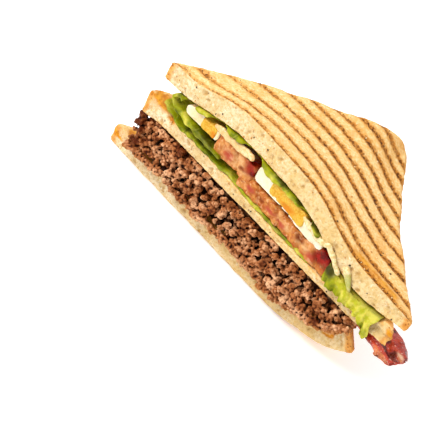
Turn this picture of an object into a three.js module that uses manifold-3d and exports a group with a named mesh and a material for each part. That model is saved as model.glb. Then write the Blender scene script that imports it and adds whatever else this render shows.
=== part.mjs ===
// Half of a ground beef club sandwich, cut along its diagonal and lying on its bottom slice.
// Millimetres, +Z up. Inside this file the cut face is the plane y = 0 and the bread's square
// corner is at +Y. The finished group is moved so that its origin is under the middle of its box.
import * as THREE from 'three';
import { mergeVertices } from 'three/addons/utils/BufferGeometryUtils.js';
import Module from 'manifold-3d';

const wasm = await Module();
wasm.setup();

// Driving sizes
const SLICE_DEPTH = 77;          // from the cut to the square corner
const CORNER_RADIUS = 5.5;       // rounding of the crust seen from above
const RIM = 2.2;                 // rounding between a face and the crust wall
const GAP = 0.3;                 // clearance between neighbours
const SIDE_HOLLOW = 0.9;         // how far a slice's crust side curves inwards
const CRUST = 8;                 // how far inwards the firm crust is felt
const INSIDE = 26;               // how far behind the cut the middle of a slice lies

// The slices: tips and square corner along the cut, thickness, and how much firmer the crust is
const BOTTOM = { left: -78.5, right: 69.8, corner: -5, thick: 8.4, firm: 1.6 };
const MIDDLE = {
  left: -70.5, right: 76, corner: 3.5, floor: 25.2, thick: 6.2, squeezed: 3.7, firm: 3.2, inner: 1.6,
  leftDip: 1.6, rightRise: 2.7, leftThicker: 2.3, rightThicker: 1.8, lift: 2, droop: 4.8,
};
const TOP = { left: -66.5, right: 79.3, corner: 6.5, thick: 10.5, leftThinner: 1.1, rightThinner: 2.5 };
const CURL = { start: 22, gentle: 0.22, tip: 0.46 };    // the bottom slice's lifted right end
const SOLE = { clear: 0.5, feet: [[-74, 0], [15, 0], [19, 47], [-5, 74]] };    // what it rests on
// Heights of the top face: along the cut, and along each crust side from its tip to the corner
const DOME = { left: 53.4, right: 44.9, rise: 9.9, middle: -4, half: 39.5 };
const LEFT_SIDE = { tip: 52.2, corner: 53.5, rise: 5.7, shoulder: 3 };
const RIGHT_SIDE = { tip: 44.6, corner: 52.5, sag: 1.2 };

const LEAF = 0.9;                // thickness of a lettuce leaf
const UNDER_LEAF = 2.3;          // room for the upper leaf under the top slice
const OVER_LEAF = 2.35;          // room for the lower leaf on the middle slice
const OVER_FOLD = 4.1;           // the same where the leaf is folded double
const BACON = { thick: 2.3, half: 8.2, cupped: 0.02, rounded: 3.84 };
const BEEF = {
  left: -70, right: 64, corner: -2, inset: 5, front: [3, 0.6], clear: 0.5,
  lump: 2.9, pitch: 5.6, overhang: 5.8, side: 7.8, hanging: [-4, 40],
};

// Small number helpers
const clamp = (t) => Math.min(1, Math.max(0, t));
const mix = (a, b, t) => a + (b - a) * t;
function ease(from, to, x) {
  const t = clamp((x - from) / (to - from));
  return t * t * (3 - 2 * t);
}
const bell = (x, middle, half) => Math.exp(-(((x - middle) / half) ** 2));
function seeded(seed) {
  let state = seed;
  return () => {
    state = (state * 1664525 + 1013904223) % 4294967296;
    return state / 4294967296;
  };
}

// Where a place lies against the two crust sides of a slice: how deep inside, and how far along
// each side from its tip to the square corner
function sides(slice, x, y) {
  const measure = (tip, way) => {
    const run = Math.abs(slice.corner - tip);
    const length = Math.hypot(run, SLICE_DEPTH);
    return {
      depth: (way * (x - tip) * SLICE_DEPTH - y * run) / length,
      along: clamp((way * (x - tip) * run + y * SLICE_DEPTH) / length / length),
    };
  };
  return [measure(slice.left, 1), measure(slice.right, -1)];
}
function crustiness(slice, x, y) {
  const [left, right] = sides(slice, x, y);
  return Math.exp(-((Math.max(0, Math.min(left.depth, right.depth)) / CRUST) ** 2));
}

// Top of the sandwich: a dome over the filling along the cut, a high left side and a drooping
// right side, joined by weights that grow towards each edge
function domeAlongCut(x) {
  const along = clamp((x - TOP.left) / (TOP.right - TOP.left));
  return mix(DOME.left, DOME.right, along) + DOME.rise * Math.exp(-(((x - DOME.middle) / DOME.half) ** 4));
}
function leftSideHeight(t) {
  const { tip, corner, rise, shoulder } = LEFT_SIDE;
  return mix(tip, corner, t) + rise * Math.sin(Math.PI * t) + shoulder * bell(t, 0.86, 0.12);
}
function rightSideHeight(t) {
  const { tip, corner, sag } = RIGHT_SIDE;
  return mix(tip, corner, t ** 5) - sag * (1 - t / 2) * Math.sin(Math.PI * t);
}
function topFace(x, y) {
  const [left, right] = sides(TOP, x, y);
  const weight = (depth) => 1 / (Math.max(0, depth) + 0.6) ** 1.5;
  const parts = [
    [weight(y), domeAlongCut(x)],
    [weight(left.depth), leftSideHeight(left.along)],
    [weight(right.depth), rightSideHeight(right.along)],
  ];
  const total = parts.reduce((sum, [w]) => sum + w, 0);
  return parts.reduce((sum, [w, height]) => sum + w * height, 0) / total;
}
function topUnder(x, y) {
  const thinner = TOP.rightThinner * ease(54, 72, x) + TOP.leftThinner * ease(-30, -48, x);
  return topFace(x, y) - TOP.thick + thinner;
}
function middleUnder(x, y) {
  const [left, right] = sides(MIDDLE, x, y);
  const ends = MIDDLE.rightRise * ease(58, 74, x) - MIDDLE.leftDip * ease(-58, -69, x);
  const bent = (side, reach) => bell(side.depth, 0, reach) * Math.sin(Math.PI * side.along);
  const lift = MIDDLE.lift * bent(left, 18);
  const droop = MIDDLE.droop * bent(right, 17);
  return MIDDLE.floor + ends + (lift - droop) * ease(0, 20, y);
}
function middleFace(x, y) {
  const firm = MIDDLE.firm * crustiness(MIDDLE, x, y) + MIDDLE.inner * ease(0, 12, y);
  const ends = MIDDLE.leftThicker * ease(-60, -69, x) + MIDDLE.rightThicker * ease(60, 70, x);
  const thick = mix(MIDDLE.thick, MIDDLE.squeezed, ease(-30, 12, x));
  const fitted = middleUnder(x, y) + thick + firm + ends;
  return Math.min(fitted, topUnder(x, y) - 1.9 + 0.9 * ease(60, 72, x));
}
const bottomThick = (x, y) => BOTTOM.thick + BOTTOM.firm * crustiness(BOTTOM, x, y);

// The bottom slice bends up along a curve: a place on it, a length from the left and a height in
// the bread give the real x and z
function curled(length, height) {
  const steps = 24;
  const beyond = Math.max(0, length - CURL.start);
  const slope = (t) => CURL.gentle * ease(0, 14, t) + CURL.tip * ease(22, 50, t);
  let x = Math.min(length, CURL.start);
  let z = 0;
  for (let i = 0; i < steps && beyond > 0; i += 1) {
    const bend = slope((beyond * (i + 0.5)) / steps);
    x += (Math.cos(bend) * beyond) / steps;
    z += (Math.sin(bend) * beyond) / steps;
  }
  const end = slope(beyond);
  return [x - Math.sin(end) * height, z + Math.cos(end) * height];
}
function bottomFace(x, y) {
  let low = BOTTOM.left - 5;
  let high = BOTTOM.right + 25;
  for (let i = 0; i < 30; i += 1) {
    const middle = (low + high) / 2;
    if (curled(middle, bottomThick(x, y))[0] < x) low = middle;
    else high = middle;
  }
  return curled(low, bottomThick(x, y))[1];
}
// A height given at the cut, carried into the sandwich between the middle and the top slice
function between(x, y, height) {
  const share = (height - middleFace(x, 0)) / (topUnder(x, 0) - middleFace(x, 0));
  return mix(middleFace(x, y), topUnder(x, y), share);
}
// The same for a filling that lies above the lower leaf and below the upper one
function above(x, y, height, clear = OVER_LEAF) {
  return Math.max(between(x, y, height), middleFace(x, y) + clear);
}
const below = (x, y, height) => Math.min(between(x, y, height), topUnder(x, y) - UNDER_LEAF);

// Plan outlines run round anticlockwise from the left tip, with soft = 0 along the cut
function arc(cx, cy, radius, from, to, count) {
  return Array.from({ length: count }, (_, i) => {
    const angle = THREE.MathUtils.degToRad(mix(from, to, i / (count - 1)));
    return { x: cx + radius * Math.cos(angle), y: cy + radius * Math.sin(angle), soft: 1 };
  });
}
function line(from, to, count, soft) {
  return Array.from({ length: count }, (_, i) => {
    const t = (i + 1) / (count + 1);
    return { x: mix(from.x, to.x, t), y: mix(from.y, to.y, t), soft };
  });
}
// A crust side curves a little towards the middle of the slice
function hollowed(points, deep) {
  const first = points[0];
  const last = points[points.length - 1];
  const length = Math.hypot(last.x - first.x, last.y - first.y);
  return points.map((p, i) => {
    const inward = deep * Math.sin((Math.PI * (i + 1)) / (points.length + 1));
    const x = p.x - (inward * (last.y - first.y)) / length;
    const y = p.y + (inward * (last.x - first.x)) / length;
    return { x, y, soft: p.soft };
  });
}
function halfSquare(slice, alongCut, alongSide) {
  const r = CORNER_RADIUS;
  const rightTip = arc(slice.right - r, 0, r, 0, 45, 4);
  const corner = arc(slice.corner, SLICE_DEPTH - r, r, 45, 135, 6);
  const leftTip = arc(slice.left + r, 0, r, 135, 180, 4);
  rightTip[0].soft = 0.3;
  leftTip[3].soft = 0.3;
  const cut = line(leftTip[3], rightTip[0], alongCut, 0);
  const side2 = hollowed(line(rightTip[3], corner[0], alongSide, 1), SIDE_HOLLOW);
  const side1 = hollowed(line(corner[5], leftTip[0], alongSide, 1), SIDE_HOLLOW);
  const outline = [...cut, ...rightTip, ...side2, ...corner, ...side1, ...leftTip];
  for (const p of outline) {
    const turn = Math.atan2(p.y - 24, p.x);
    const wobble = p.soft * (0.5 * Math.sin(5 * turn + slice.left) + 0.35 * Math.sin(11 * turn));
    p.x += wobble * Math.cos(turn);
    if (p.soft === 1 && p.y > 1) p.y += wobble * Math.sin(turn);
  }
  return outline;
}
// An oval filling cut off by the knife at y = 0
function cutOval(cx, cy, halfX, halfY, count) {
  const start = Math.asin(-cy / halfY);
  const side = Array.from({ length: count }, (_, i) => {
    const angle = mix(start, Math.PI - start, i / (count - 1));
    const soft = i === 0 || i === count - 1 ? 0.3 : 1;
    return { x: cx + halfX * Math.cos(angle), y: Math.max(0, cy + halfY * Math.sin(angle)), soft };
  });
  return [...side, ...line(side[count - 1], side[0], Math.round(count / 2), 0)];
}

// A closed solid from its outline, between two height functions, with a rounded rim
// front moves the cut side forwards, at the bottom and at the top of the layer
function layer({ outline, centre, rings, lower, upper, rim, front = [0, 0] }, grow = 0) {
  const places = [];
  const ring = (inset, scale, height, forward = 0) => outline.map((p) => {
    const away = Math.hypot(p.x - centre.x, p.y - centre.y);
    const s = scale * (1 + (grow - inset * Math.max(0.12, p.soft)) / away);
    const x = centre.x + (p.x - centre.x) * s;
    const y = centre.y + (p.y - centre.y) * s - forward * (1 - p.soft);
    return [x, y, height(x, y, Math.max(0.12, p.soft))];
  });
  const low = (x, y) => lower(x, y) - grow;
  const high = (x, y) => upper(x, y) + grow;
  const cap = (x, y, share) => Math.min(share * rim, 0.42 * (high(x, y) - low(x, y)));
  for (const scale of [...rings].reverse()) places.push(ring(rim, scale, low));
  places.push(ring(rim, 1, low, front[0]));
  places.push(ring(0, 1, (x, y, soft) => low(x, y) + cap(x, y, soft), front[0]));
  places.push(ring(0, 1, (x, y, soft) => high(x, y) - cap(x, y, soft), front[1]));
  places.push(ring(rim, 1, high, front[1]));
  for (const scale of rings) places.push(ring(rim, scale, high));
  const ends = [[centre.x, centre.y, low(centre.x, centre.y)],
    [centre.x, centre.y, high(centre.x, centre.y)]];
  return stacked(places, ends);
}
// Closed mesh of rings stacked on each other, closed by one point below and one above
function stacked(places, ends) {
  const count = places[0].length;
  const positions = [...places.flat(), ...ends].flat();
  const index = [];
  for (let row = 0; row + 1 < places.length; row += 1) {
    for (let i = 0; i < count; i += 1) {
      const a = row * count + i;
      const b = row * count + ((i + 1) % count);
      index.push(a, b, b + count, a, b + count, a + count);
    }
  }
  const last = (places.length - 1) * count;
  const bottom = places.length * count;
  for (let i = 0; i < count; i += 1) {
    const next = (i + 1) % count;
    index.push(bottom, next, i, bottom + 1, last + i, last + next);
  }
  return indexed(positions, index);
}
// A thin wavy leaf: surface(u, v) is its middle, thickened along its normal, both faces alike
function leaf(surface, alongU, alongV, thick) {
  const front = [];
  const back = [];
  const step = 1e-3;
  for (let j = 0; j <= alongV; j += 1) {
    for (let i = 0; i <= alongU; i += 1) {
      const u = i / alongU;
      const v = j / alongV;
      const p = new THREE.Vector3(...surface(u, v));
      const du = new THREE.Vector3(...surface(u + step, v)).sub(p);
      const dv = new THREE.Vector3(...surface(u, v + step)).sub(p);
      const half = du.cross(dv).normalize().multiplyScalar(thick(u, v) / 2);
      front.push(...p.clone().add(half).toArray());
      back.push(...p.clone().sub(half).toArray());
    }
  }
  const row = alongU + 1;
  const shift = row * (alongV + 1);
  const index = [];
  const quad = (a, b, c, d) => index.push(a, b, c, a, c, d);
  for (let j = 0; j < alongV; j += 1) {
    for (let i = 0; i < alongU; i += 1) {
      const a = j * row + i;
      quad(a, a + 1, a + 1 + row, a + row);
      quad(a + shift, a + row + shift, a + 1 + row + shift, a + 1 + shift);
    }
  }
  for (let i = 0; i < alongU; i += 1) {
    const far = alongV * row + i;
    quad(i + shift, i + 1 + shift, i + 1, i);
    quad(far, far + 1, far + 1 + shift, far + shift);
  }
  for (let j = 0; j < alongV; j += 1) {
    const near = j * row;
    const far = near + alongU;
    quad(near, near + row, near + row + shift, near + shift);
    quad(far + shift, far + row + shift, far + row, far);
  }
  return indexed([...front, ...back], index);
}
function indexed(positions, index) {
  const geometry = new THREE.BufferGeometry();
  geometry.setAttribute('position', new THREE.Float32BufferAttribute(positions, 3));
  geometry.setIndex(index);
  return geometry;
}

// Joining and cutting
function solid(geometry) {
  const bare = geometry.clone();
  bare.deleteAttribute('normal');
  bare.deleteAttribute('uv');
  const merged = mergeVertices(bare, 1e-4);
  return new wasm.Manifold(new wasm.Mesh({
    numProp: 3,
    vertProperties: new Float32Array(merged.attributes.position.array),
    triVerts: new Uint32Array(merged.index.array),
  }));
}
function toGeometry(body) {
  const mesh = body.getMesh();
  return indexed(Array.from(mesh.vertProperties), Array.from(mesh.triVerts));
}
// The largest connected piece of a body
function largest(body) {
  const pieces = body.decompose();
  return pieces.reduce((best, piece) => (piece.volume() > best.volume() ? piece : best));
}
function carve(geometry, ...neighbours) {
  let body = solid(geometry);
  for (const neighbour of neighbours) body = body.subtract(solid(neighbour));
  return toGeometry(largest(body));
}

// Bread slices
const bottomOutline = halfSquare(BOTTOM, 18, 8);
const bottomRings = [0.82, 0.55, 0.28];
// The underside stands clear of the surface, except at its flat middle and at the four feet of its edge
function footed(flat) {
  const place = flat.attributes.position;
  const count = bottomOutline.length;
  const edge = bottomOutline.map((_, i) => bottomRings.length * count + i);
  for (let i = count; i <= edge[count - 1]; i += 1) place.setZ(i, SOLE.clear);
  for (const [x, y] of SOLE.feet) {
    const away = (i) => Math.hypot(place.getX(i) - x, place.getY(i) - y);
    place.setZ(edge.reduce((best, i) => (away(i) < away(best) ? i : best)), 0);
  }
}
function bottomSlice() {
  const flat = layer({
    outline: bottomOutline,
    centre: { x: BOTTOM.corner, y: INSIDE },
    rings: bottomRings,
    lower: () => 0,
    upper: (x, y) => bottomThick(x, y),
    rim: RIM,
  });
  footed(flat);
  const place = flat.attributes.position;
  for (let i = 0; i < place.count; i += 1) {
    const [x, z] = curled(place.getX(i), place.getZ(i));
    place.setX(i, x);
    place.setZ(i, z);
  }
  return flat;
}
const middleOutline = halfSquare(MIDDLE, 16, 8);
const middleSlice = (grow = 0) => layer({
  outline: middleOutline,
  centre: { x: MIDDLE.corner, y: INSIDE },
  rings: [0.86, 0.64, 0.34],
  lower: middleUnder,
  upper: middleFace,
  rim: RIM,
}, grow);
const topOutline = halfSquare(TOP, 18, 9);
const topSlice = (grow = 0) => layer({
  outline: topOutline,
  centre: { x: TOP.corner, y: INSIDE },
  rings: [0.9, 0.75, 0.55, 0.3],
  lower: topUnder,
  upper: topFace,
  rim: 1.3 * RIM,
}, grow);

// Lettuce
const sideReach = (x) => Math.max(3, Math.min(
  ((x - MIDDLE.left) * SLICE_DEPTH) / (MIDDLE.corner - MIDDLE.left),
  ((MIDDLE.right - x) * SLICE_DEPTH) / (MIDDLE.right - MIDDLE.corner),
) - 2.5);
const ripple = (x, y) => Math.sin(0.42 * x + 0.3 * y) * Math.cos(0.37 * y - 0.13 * x);
function lowerLeaf(u, v) {
  const x = mix(-61.5, 31, u);
  const y = mix(-1.2, Math.min(sideReach(x) + 2.5, 66), v);
  const lift = 4.2 * ease(-46, -62, x) * (1 - ease(0, 18, y));
  return [x, y, middleFace(x, y) + 1.25 + lift + 0.35 * ripple(x, y)];
}
// The folded rib at the left: a curve in the plane of the cut, carried into the sandwich
const foldCurve = new THREE.CatmullRomCurve3([
  [-53.2, 42.7], [-56.3, 42.5], [-58.6, 40.9], [-56.5, 38.7], [-50, 37.3], [-42, 36.3], [-33, 35.4],
  [-25.5, 34.6],
].map(([x, z]) => new THREE.Vector3(x, 0, z)));
function foldLeaf(u, v) {
  const p = foldCurve.getPoint(clamp(u));
  const y = mix(-1.6, 22, v);
  const x = p.x + 0.1 * y + 0.3 * Math.sin(0.6 * y + 3 * u);
  return [x, y, above(x, y, p.z + 0.1 * Math.sin(0.5 * y + 9 * u)) + 0.3];
}
// The big leaf at the right: it lies under the top slice and hangs over the cut as a curtain
const curtainHem = (x) => mix(33.5, 29.4, ease(40, 46, x)) - 5.8 * bell(x, 66.2, 4.6);
function rightLeaf(u, v) {
  const x = mix(40.7, 70.5, u);
  const turn = 0.6;
  const under = Math.min(LEAF / 2 + 0.9, 0.5 * (topUnder(x, 0) - middleFace(x, 0)));
  const crest = topUnder(x, 0) - under;
  const hang = ease(turn, 1, v);
  if (v <= turn) {
    const y = mix(Math.min(sideReach(x) + 2, 34), 0, v / turn);
    const tight = 0.5 * (topUnder(x, y) - middleFace(x, y));
    return [x, y, topUnder(x, y) - Math.min(under, tight)];
  }
  const out = 1.5 * ease(0, 0.35, hang) + 0.45 * Math.sin(0.75 * x) * hang;
  return [x + 0.8 * hang * ease(58, 66, x), -out, mix(crest, curtainHem(x), hang)];
}
// The thin leaf just under the top slice, drawn back from the cut where bread or egg hides it
function upperLeaf(u, v) {
  const x = mix(-47, 30, u);
  const shown = Math.max(bell(x, -43, 5), bell(x, -24, 8), bell(x, 11, 12), bell(x, 27, 4));
  const y = mix(mix(3.2, -0.7, clamp(1.6 * shown)), Math.min(sideReach(x) - 6, 48), v);
  return [x, y, topUnder(x, y) - 1.2 + 0.15 * ripple(x, y)];
}

// Egg and tomato slices: heights are read along the cut and carried inwards
const yolkLeft = {
  outline: cutOval(-37.1, 4, 4.3, 8, 10),
  centre: { x: -37.1, y: 4.5 },
  rings: [],
  lower: (x, y) => above(x, y, 39.3, OVER_FOLD),
  upper: (x, y) => below(x, y, 43.5),
  rim: 1,
};
const whiteLeft = {
  outline: cutOval(-41.2, 5, 9.9, 15, 14),
  centre: { x: -41.2, y: 7 },
  rings: [0.6],
  lower: (x, y) => above(x, y, 39.3, OVER_FOLD),
  upper: (x, y) => below(x, y, 43.6),
  rim: 1.4,
};
const yolkRight = {
  outline: cutOval(10.5, 6, 11.2, 10.5, 12),
  centre: { x: 10.5, y: 6.5 },
  rings: [0.55],
  lower: (x, y) => above(x, y, mix(40.3, 38.8, ease(4, 24, x))),
  upper: (x, y) => below(x, y, mix(46.6, 44.6, ease(6, 22, x))),
  rim: 1.2,
};
const whiteRight = {
  outline: cutOval(12.2, 6, 20.8, 18, 18),
  centre: { x: 12.2, y: 8 },
  rings: [0.7],
  lower: (x, y) => above(x, y, mix(39.6, 37.4, ease(4, 28, x))),
  upper: (x, y) => below(x, y, mix(46, 41, ease(4, 28, x))),
  rim: 1.6,
};
const tomatoLeft = {
  outline: cutOval(-19.9, 4, 11, 14, 16),
  centre: { x: -19.9, y: 6 },
  rings: [0.6],
  lower: (x, y) => above(x, y, 36.9),
  upper: (x, y) => below(x, y, 43.6),
  rim: 1,
};
const tomatoRight = {
  outline: cutOval(12.5, 8, 27.4, 26, 20),
  centre: { x: 12.5, y: 10 },
  rings: [0.85, 0.5],
  lower: (x, y) => above(x, y, mix(33.2, 31.6, ease(0, 30, x))),
  upper: (x, y) => below(x, y, mix(38.2, 36.8, ease(-8, 20, x)) + 4.2 * ease(33, 35, x)),
  rim: 0.9,
};

// Bacon: a strip on the beef that sticks out past the right tip
const baconCurve = new THREE.CatmullRomCurve3([
  [44, 18, 23.0], [56, 13.5, 23.5], [66, 10.2, 24.0], [75, 8.2, 23.2], [82.4, 7.4, 22.0],
].map((p) => new THREE.Vector3(...p)));
function baconStrip(u, v) {
  const p = baconCurve.getPoint(clamp(u));
  p.x += (u - clamp(u)) * 42;
  const across = mix(-BACON.half, BACON.half, v);
  const rounded = BACON.rounded * ease(0.8, 1, u) * (across / BACON.half) ** 2;
  const out = ease(0.55, 0.8, u);
  const wave = out * (0.8 * Math.sin(0.55 * across + 7 * u) + 0.35 * Math.sin(1.3 * across + 16 * u));
  const x = p.x + 0.32 * across - rounded - out * BACON.cupped * across * across;
  const y = Math.max(-0.2, p.y + 0.95 * across);
  const roof = middleUnder(x, y) - GAP - BACON.thick / 2 - 0.15;
  return [x, y, Math.min(p.z + wave, mix(roof, 40, ease(69, 74, x)))];
}

// Ground beef: a core between the two lower slices with crumbles fused on wherever they show
const beefCore = {
  outline: halfSquare(BEEF, 16, 8).map((p) => {
    const along = p.x - BEEF.corner;
    const deep = p.y - INSIDE + 2;
    const inwards = (p.soft * BEEF.inset) / Math.hypot(along, deep);
    return { x: p.x - inwards * along, y: Math.max(0, p.y - inwards * deep), soft: p.soft };
  }),
  centre: { x: BEEF.corner, y: INSIDE - 2 },
  rings: [0.8, 0.4],
  lower: (x, y) => Math.min(
    bottomFace(x, y) + BEEF.clear + 0.9 * ease(16, 28, x),
    middleUnder(x, y) - BEEF.clear - 0.6,
  ),
  upper: (x, y) => middleUnder(x, y) - BEEF.clear,
  rim: 0.6,
  front: BEEF.front,
};
const draw = seeded(20831);
function crumble(x, y, z, radius) {
  const lump = mergeVertices(new THREE.IcosahedronGeometry(radius, 0).deleteAttribute('normal')
    .deleteAttribute('uv'), 1e-4);
  const place = lump.attributes.position;
  for (let i = 0; i < place.count; i += 1) {
    const s = mix(0.78, 1.2, draw());
    place.setXYZ(i, place.getX(i) * s, place.getY(i) * s, place.getZ(i) * s);
  }
  lump.rotateX(6.28 * draw());
  lump.rotateZ(6.28 * draw());
  lump.scale(mix(0.9, 1.35, draw()), mix(0.85, 1.15, draw()), mix(0.75, 1.05, draw()));
  lump.translate(x, y, z);
  return pressed(lump, bottomFace(x, y) + 0.8 > z);
}
// A crumble is squashed against the slices, or hangs wholly in front of the cut
function pressed(lump, hangs) {
  const place = lump.attributes.position;
  for (let i = 0; i < place.count; i += 1) {
    const x = place.getX(i);
    const y = hangs ? Math.min(place.getY(i), -BEEF.clear) : place.getY(i);
    const floor = hangs ? 0.5 : bottomFace(x, y) + BEEF.clear;
    const roof = middleUnder(x, y) - BEEF.clear;
    place.setY(i, y);
    place.setZ(i, Math.max(Math.min(place.getZ(i), roof), Math.min(floor, roof - 0.3)));
  }
  return lump;
}
function crumbles() {
  const found = [];
  const { lump, pitch } = BEEF;
  const spread = (amount) => mix(-amount, amount, draw());
  for (let x = BEEF.left + 1; x < BEEF.right - 1; x += pitch) {
    const low = bottomFace(x, 0) + 1.2;
    const high = middleUnder(x, 0) - 1.6;
    const rows = Math.max(1, Math.round((high - low) / pitch));
    for (let row = 0; row < rows; row += 1) {
      const z = mix(low, high, (row + 0.5) / rows) + spread(1);
      const forward = mix(...BEEF.front, (z - low) / Math.max(1, high - low)) + spread(1);
      found.push(crumble(x + spread(1.4), -forward, z, lump * mix(0.75, 1.2, draw())));
    }
  }
  for (let x = BEEF.left + 5; x < BEEF.right - 7; x += BEEF.overhang) {
    const rows = x > BEEF.hanging[0] && x < BEEF.hanging[1] ? 2 : 1;
    for (let row = 0; row < rows; row += 1) {
      const z = bottomFace(x, 0) + 0.4 - mix(0, 1.4, draw()) - 3.4 * row;
      found.push(crumble(x + spread(1.2), -3.2 + spread(0.3), z, lump * mix(0.85, 1.1, draw())));
    }
  }
  for (const p of sidePlaces()) {
    const low = bottomFace(p.x, p.y) + 1.4;
    const high = middleUnder(p.x, p.y) - 1.4;
    const rows = Math.max(1, Math.round((high - low) / BEEF.side));
    for (let row = 0; row < rows; row += 1) {
      const z = mix(low, high, (row + 0.5) / rows) + spread(0.8);
      found.push(crumble(p.x + spread(1.5), p.y + spread(1.5), z, lump * mix(0.95, 1.3, draw())));
    }
  }
  return found;
}
function sidePlaces() {
  const places = [];
  const side = beefCore.outline.filter((p) => p.soft === 1 && p.y > 3);
  for (let i = 0; i + 1 < side.length; i += 1) {
    const count = Math.round(Math.hypot(side[i + 1].x - side[i].x, side[i + 1].y - side[i].y) / BEEF.side);
    for (let k = 0; k < count; k += 1) {
      const t = (k + 0.5) / count;
      places.push({ x: mix(side[i].x, side[i + 1].x, t), y: mix(side[i].y, side[i + 1].y, t) });
    }
  }
  return places;
}
function groundBeef() {
  let body = solid(layer(beefCore));
  for (const lump of crumbles()) body = body.add(solid(lump));
  const wider = (u, v) => baconStrip(mix(-0.02, 1.02, u), mix(-0.04, 1.04, v));
  body = body.subtract(solid(leaf(wider, 14, 7, () => BACON.thick + 3 * GAP)));
  return toGeometry(largest(body));
}

// Colours from the real food, one material a kind
const COLOURS = {
  bread: 0xe6c383, beef: 0x6e4632, lettuce: 0x8fb02c, white: 0xf2efe4, yolk: 0xf0b13a,
  tomato: 0xb8362a, bacon: 0x7c2a22,
};
const finish = Object.fromEntries(Object.entries(COLOURS).map(([kind, colour]) => [
  kind, new THREE.MeshStandardMaterial({ color: colour, roughness: 0.7, metalness: 0 }),
]));

const sandwich = new THREE.Group();
function piece(name, geometry, kind) {
  const mesh = new THREE.Mesh(geometry, finish[kind]);
  mesh.name = name;
  sandwich.add(mesh);
}
const breadNear = [middleSlice(GAP), topSlice(GAP)];
piece('bread_bottom', bottomSlice(), 'bread');
piece('ground_beef', groundBeef(), 'beef');
piece('bread_middle', middleSlice(), 'bread');
piece('bread_top', topSlice(), 'bread');
piece('lettuce_lower', carve(leaf(lowerLeaf, 20, 6, () => LEAF), ...breadNear), 'lettuce');
piece('lettuce_fold', carve(leaf(foldLeaf, 12, 4, () => 1.7 * LEAF), ...breadNear), 'lettuce');
piece('lettuce_right', carve(leaf(rightLeaf, 14, 10, () => LEAF), ...breadNear), 'lettuce');
piece('lettuce_upper', carve(leaf(upperLeaf, 20, 5, () => LEAF), ...breadNear), 'lettuce');
piece('tomato_left', carve(layer(tomatoLeft), layer(whiteLeft, GAP), ...breadNear), 'tomato');
piece('tomato_right', carve(layer(tomatoRight), layer(tomatoLeft, GAP), ...breadNear), 'tomato');
piece('egg_white_left', carve(layer(whiteLeft), layer(yolkLeft, GAP), ...breadNear), 'white');
piece('egg_yolk_left', carve(layer(yolkLeft), ...breadNear), 'yolk');
piece('egg_white_right', carve(
  layer(whiteRight),
  layer(yolkRight, GAP),
  layer(tomatoLeft, GAP),
  layer(tomatoRight, GAP),
  ...breadNear,
), 'white');
piece('egg_yolk_right', carve(layer(yolkRight), layer(tomatoRight, GAP), ...breadNear), 'yolk');
piece('bacon', carve(leaf(baconStrip, 14, 7, () => BACON.thick), ...breadNear), 'bacon');

const box = new THREE.Box3().setFromObject(sandwich);
sandwich.position.set(-(box.min.x + box.max.x) / 2, -(box.min.y + box.max.y) / 2, -box.min.z);

export default sandwich;
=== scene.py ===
# The looks of half a ground beef club sandwich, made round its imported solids.
# Lengths are millimetres in the sandwich's own frame: +X along the cut, the cut face on y = 0, the
# bread's square corner at +Y and +Z up. placed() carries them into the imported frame, in metres.
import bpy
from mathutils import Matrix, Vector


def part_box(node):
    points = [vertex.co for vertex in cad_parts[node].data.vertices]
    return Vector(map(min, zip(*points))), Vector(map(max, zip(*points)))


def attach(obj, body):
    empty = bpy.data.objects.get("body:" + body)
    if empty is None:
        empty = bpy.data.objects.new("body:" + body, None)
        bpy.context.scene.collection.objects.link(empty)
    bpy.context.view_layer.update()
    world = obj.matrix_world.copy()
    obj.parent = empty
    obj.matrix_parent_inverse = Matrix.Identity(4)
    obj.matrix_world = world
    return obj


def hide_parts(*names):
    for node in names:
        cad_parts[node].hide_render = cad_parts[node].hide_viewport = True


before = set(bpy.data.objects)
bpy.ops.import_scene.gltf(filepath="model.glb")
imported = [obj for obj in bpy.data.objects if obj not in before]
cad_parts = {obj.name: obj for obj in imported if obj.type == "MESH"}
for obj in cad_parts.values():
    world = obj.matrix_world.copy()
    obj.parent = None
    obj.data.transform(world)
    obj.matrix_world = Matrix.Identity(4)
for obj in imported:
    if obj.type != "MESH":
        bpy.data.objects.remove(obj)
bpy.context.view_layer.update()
from types import SimpleNamespace as Sizes

import bmesh
import bpy
import numpy as np
from mathutils import Matrix, Vector

# Sizes that the solids were made from
SLICE_DEPTH = 77.0
CORNER_RADIUS = 5.5
RIM = 2.2
SIDE_HOLLOW = 0.9
CRUST = 8.0
INSIDE = 26.0
BOTTOM = Sizes(name="toast_bottom", node="bread_bottom", left=-78.5, right=69.8, corner=-5.0, rim=RIM,
               thick=8.4, firm=1.6, skin=0.6, grilled=-1, seed=100)
MIDDLE = Sizes(name="toast_middle", node="bread_middle", left=-70.5, right=76.0, corner=3.5, rim=RIM,
               floor=25.2, thick=6.2, squeezed=3.7, firm=3.2, inner=1.6, left_dip=1.6, right_rise=2.7,
               left_thicker=2.3, right_thicker=1.8, lift=2.0, droop=4.8, skin=1.1, grilled=0, seed=200)
TOP = Sizes(name="toast_top", node="bread_top", left=-66.5, right=79.3, corner=6.5, rim=1.3 * RIM,
            thick=10.5, left_thinner=1.1, right_thinner=2.5, tip_thinner=2.4, skin=0.6, grilled=1,
            seed=300)
CURL = Sizes(start=22.0, gentle=0.22, tip=0.46, steps=24, halvings=18)
DOME = Sizes(left=53.4, right=44.9, rise=9.9, middle=-4.0, half=39.5)
LEFT_SIDE = Sizes(tip=52.2, corner=53.5, rise=5.7, shoulder=3.0)
RIGHT_SIDE = Sizes(tip=44.6, corner=52.5, sag=1.2)
OVER_LEAF = 2.35
BACON = Sizes(thick=2.1, half=8.2, cupped=0.02, rounded=3.84)
BEEF = Sizes(left=-70.0, right=64.0, corner=-2.0, inset=5.0, front=(3.0, 0.6))
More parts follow.
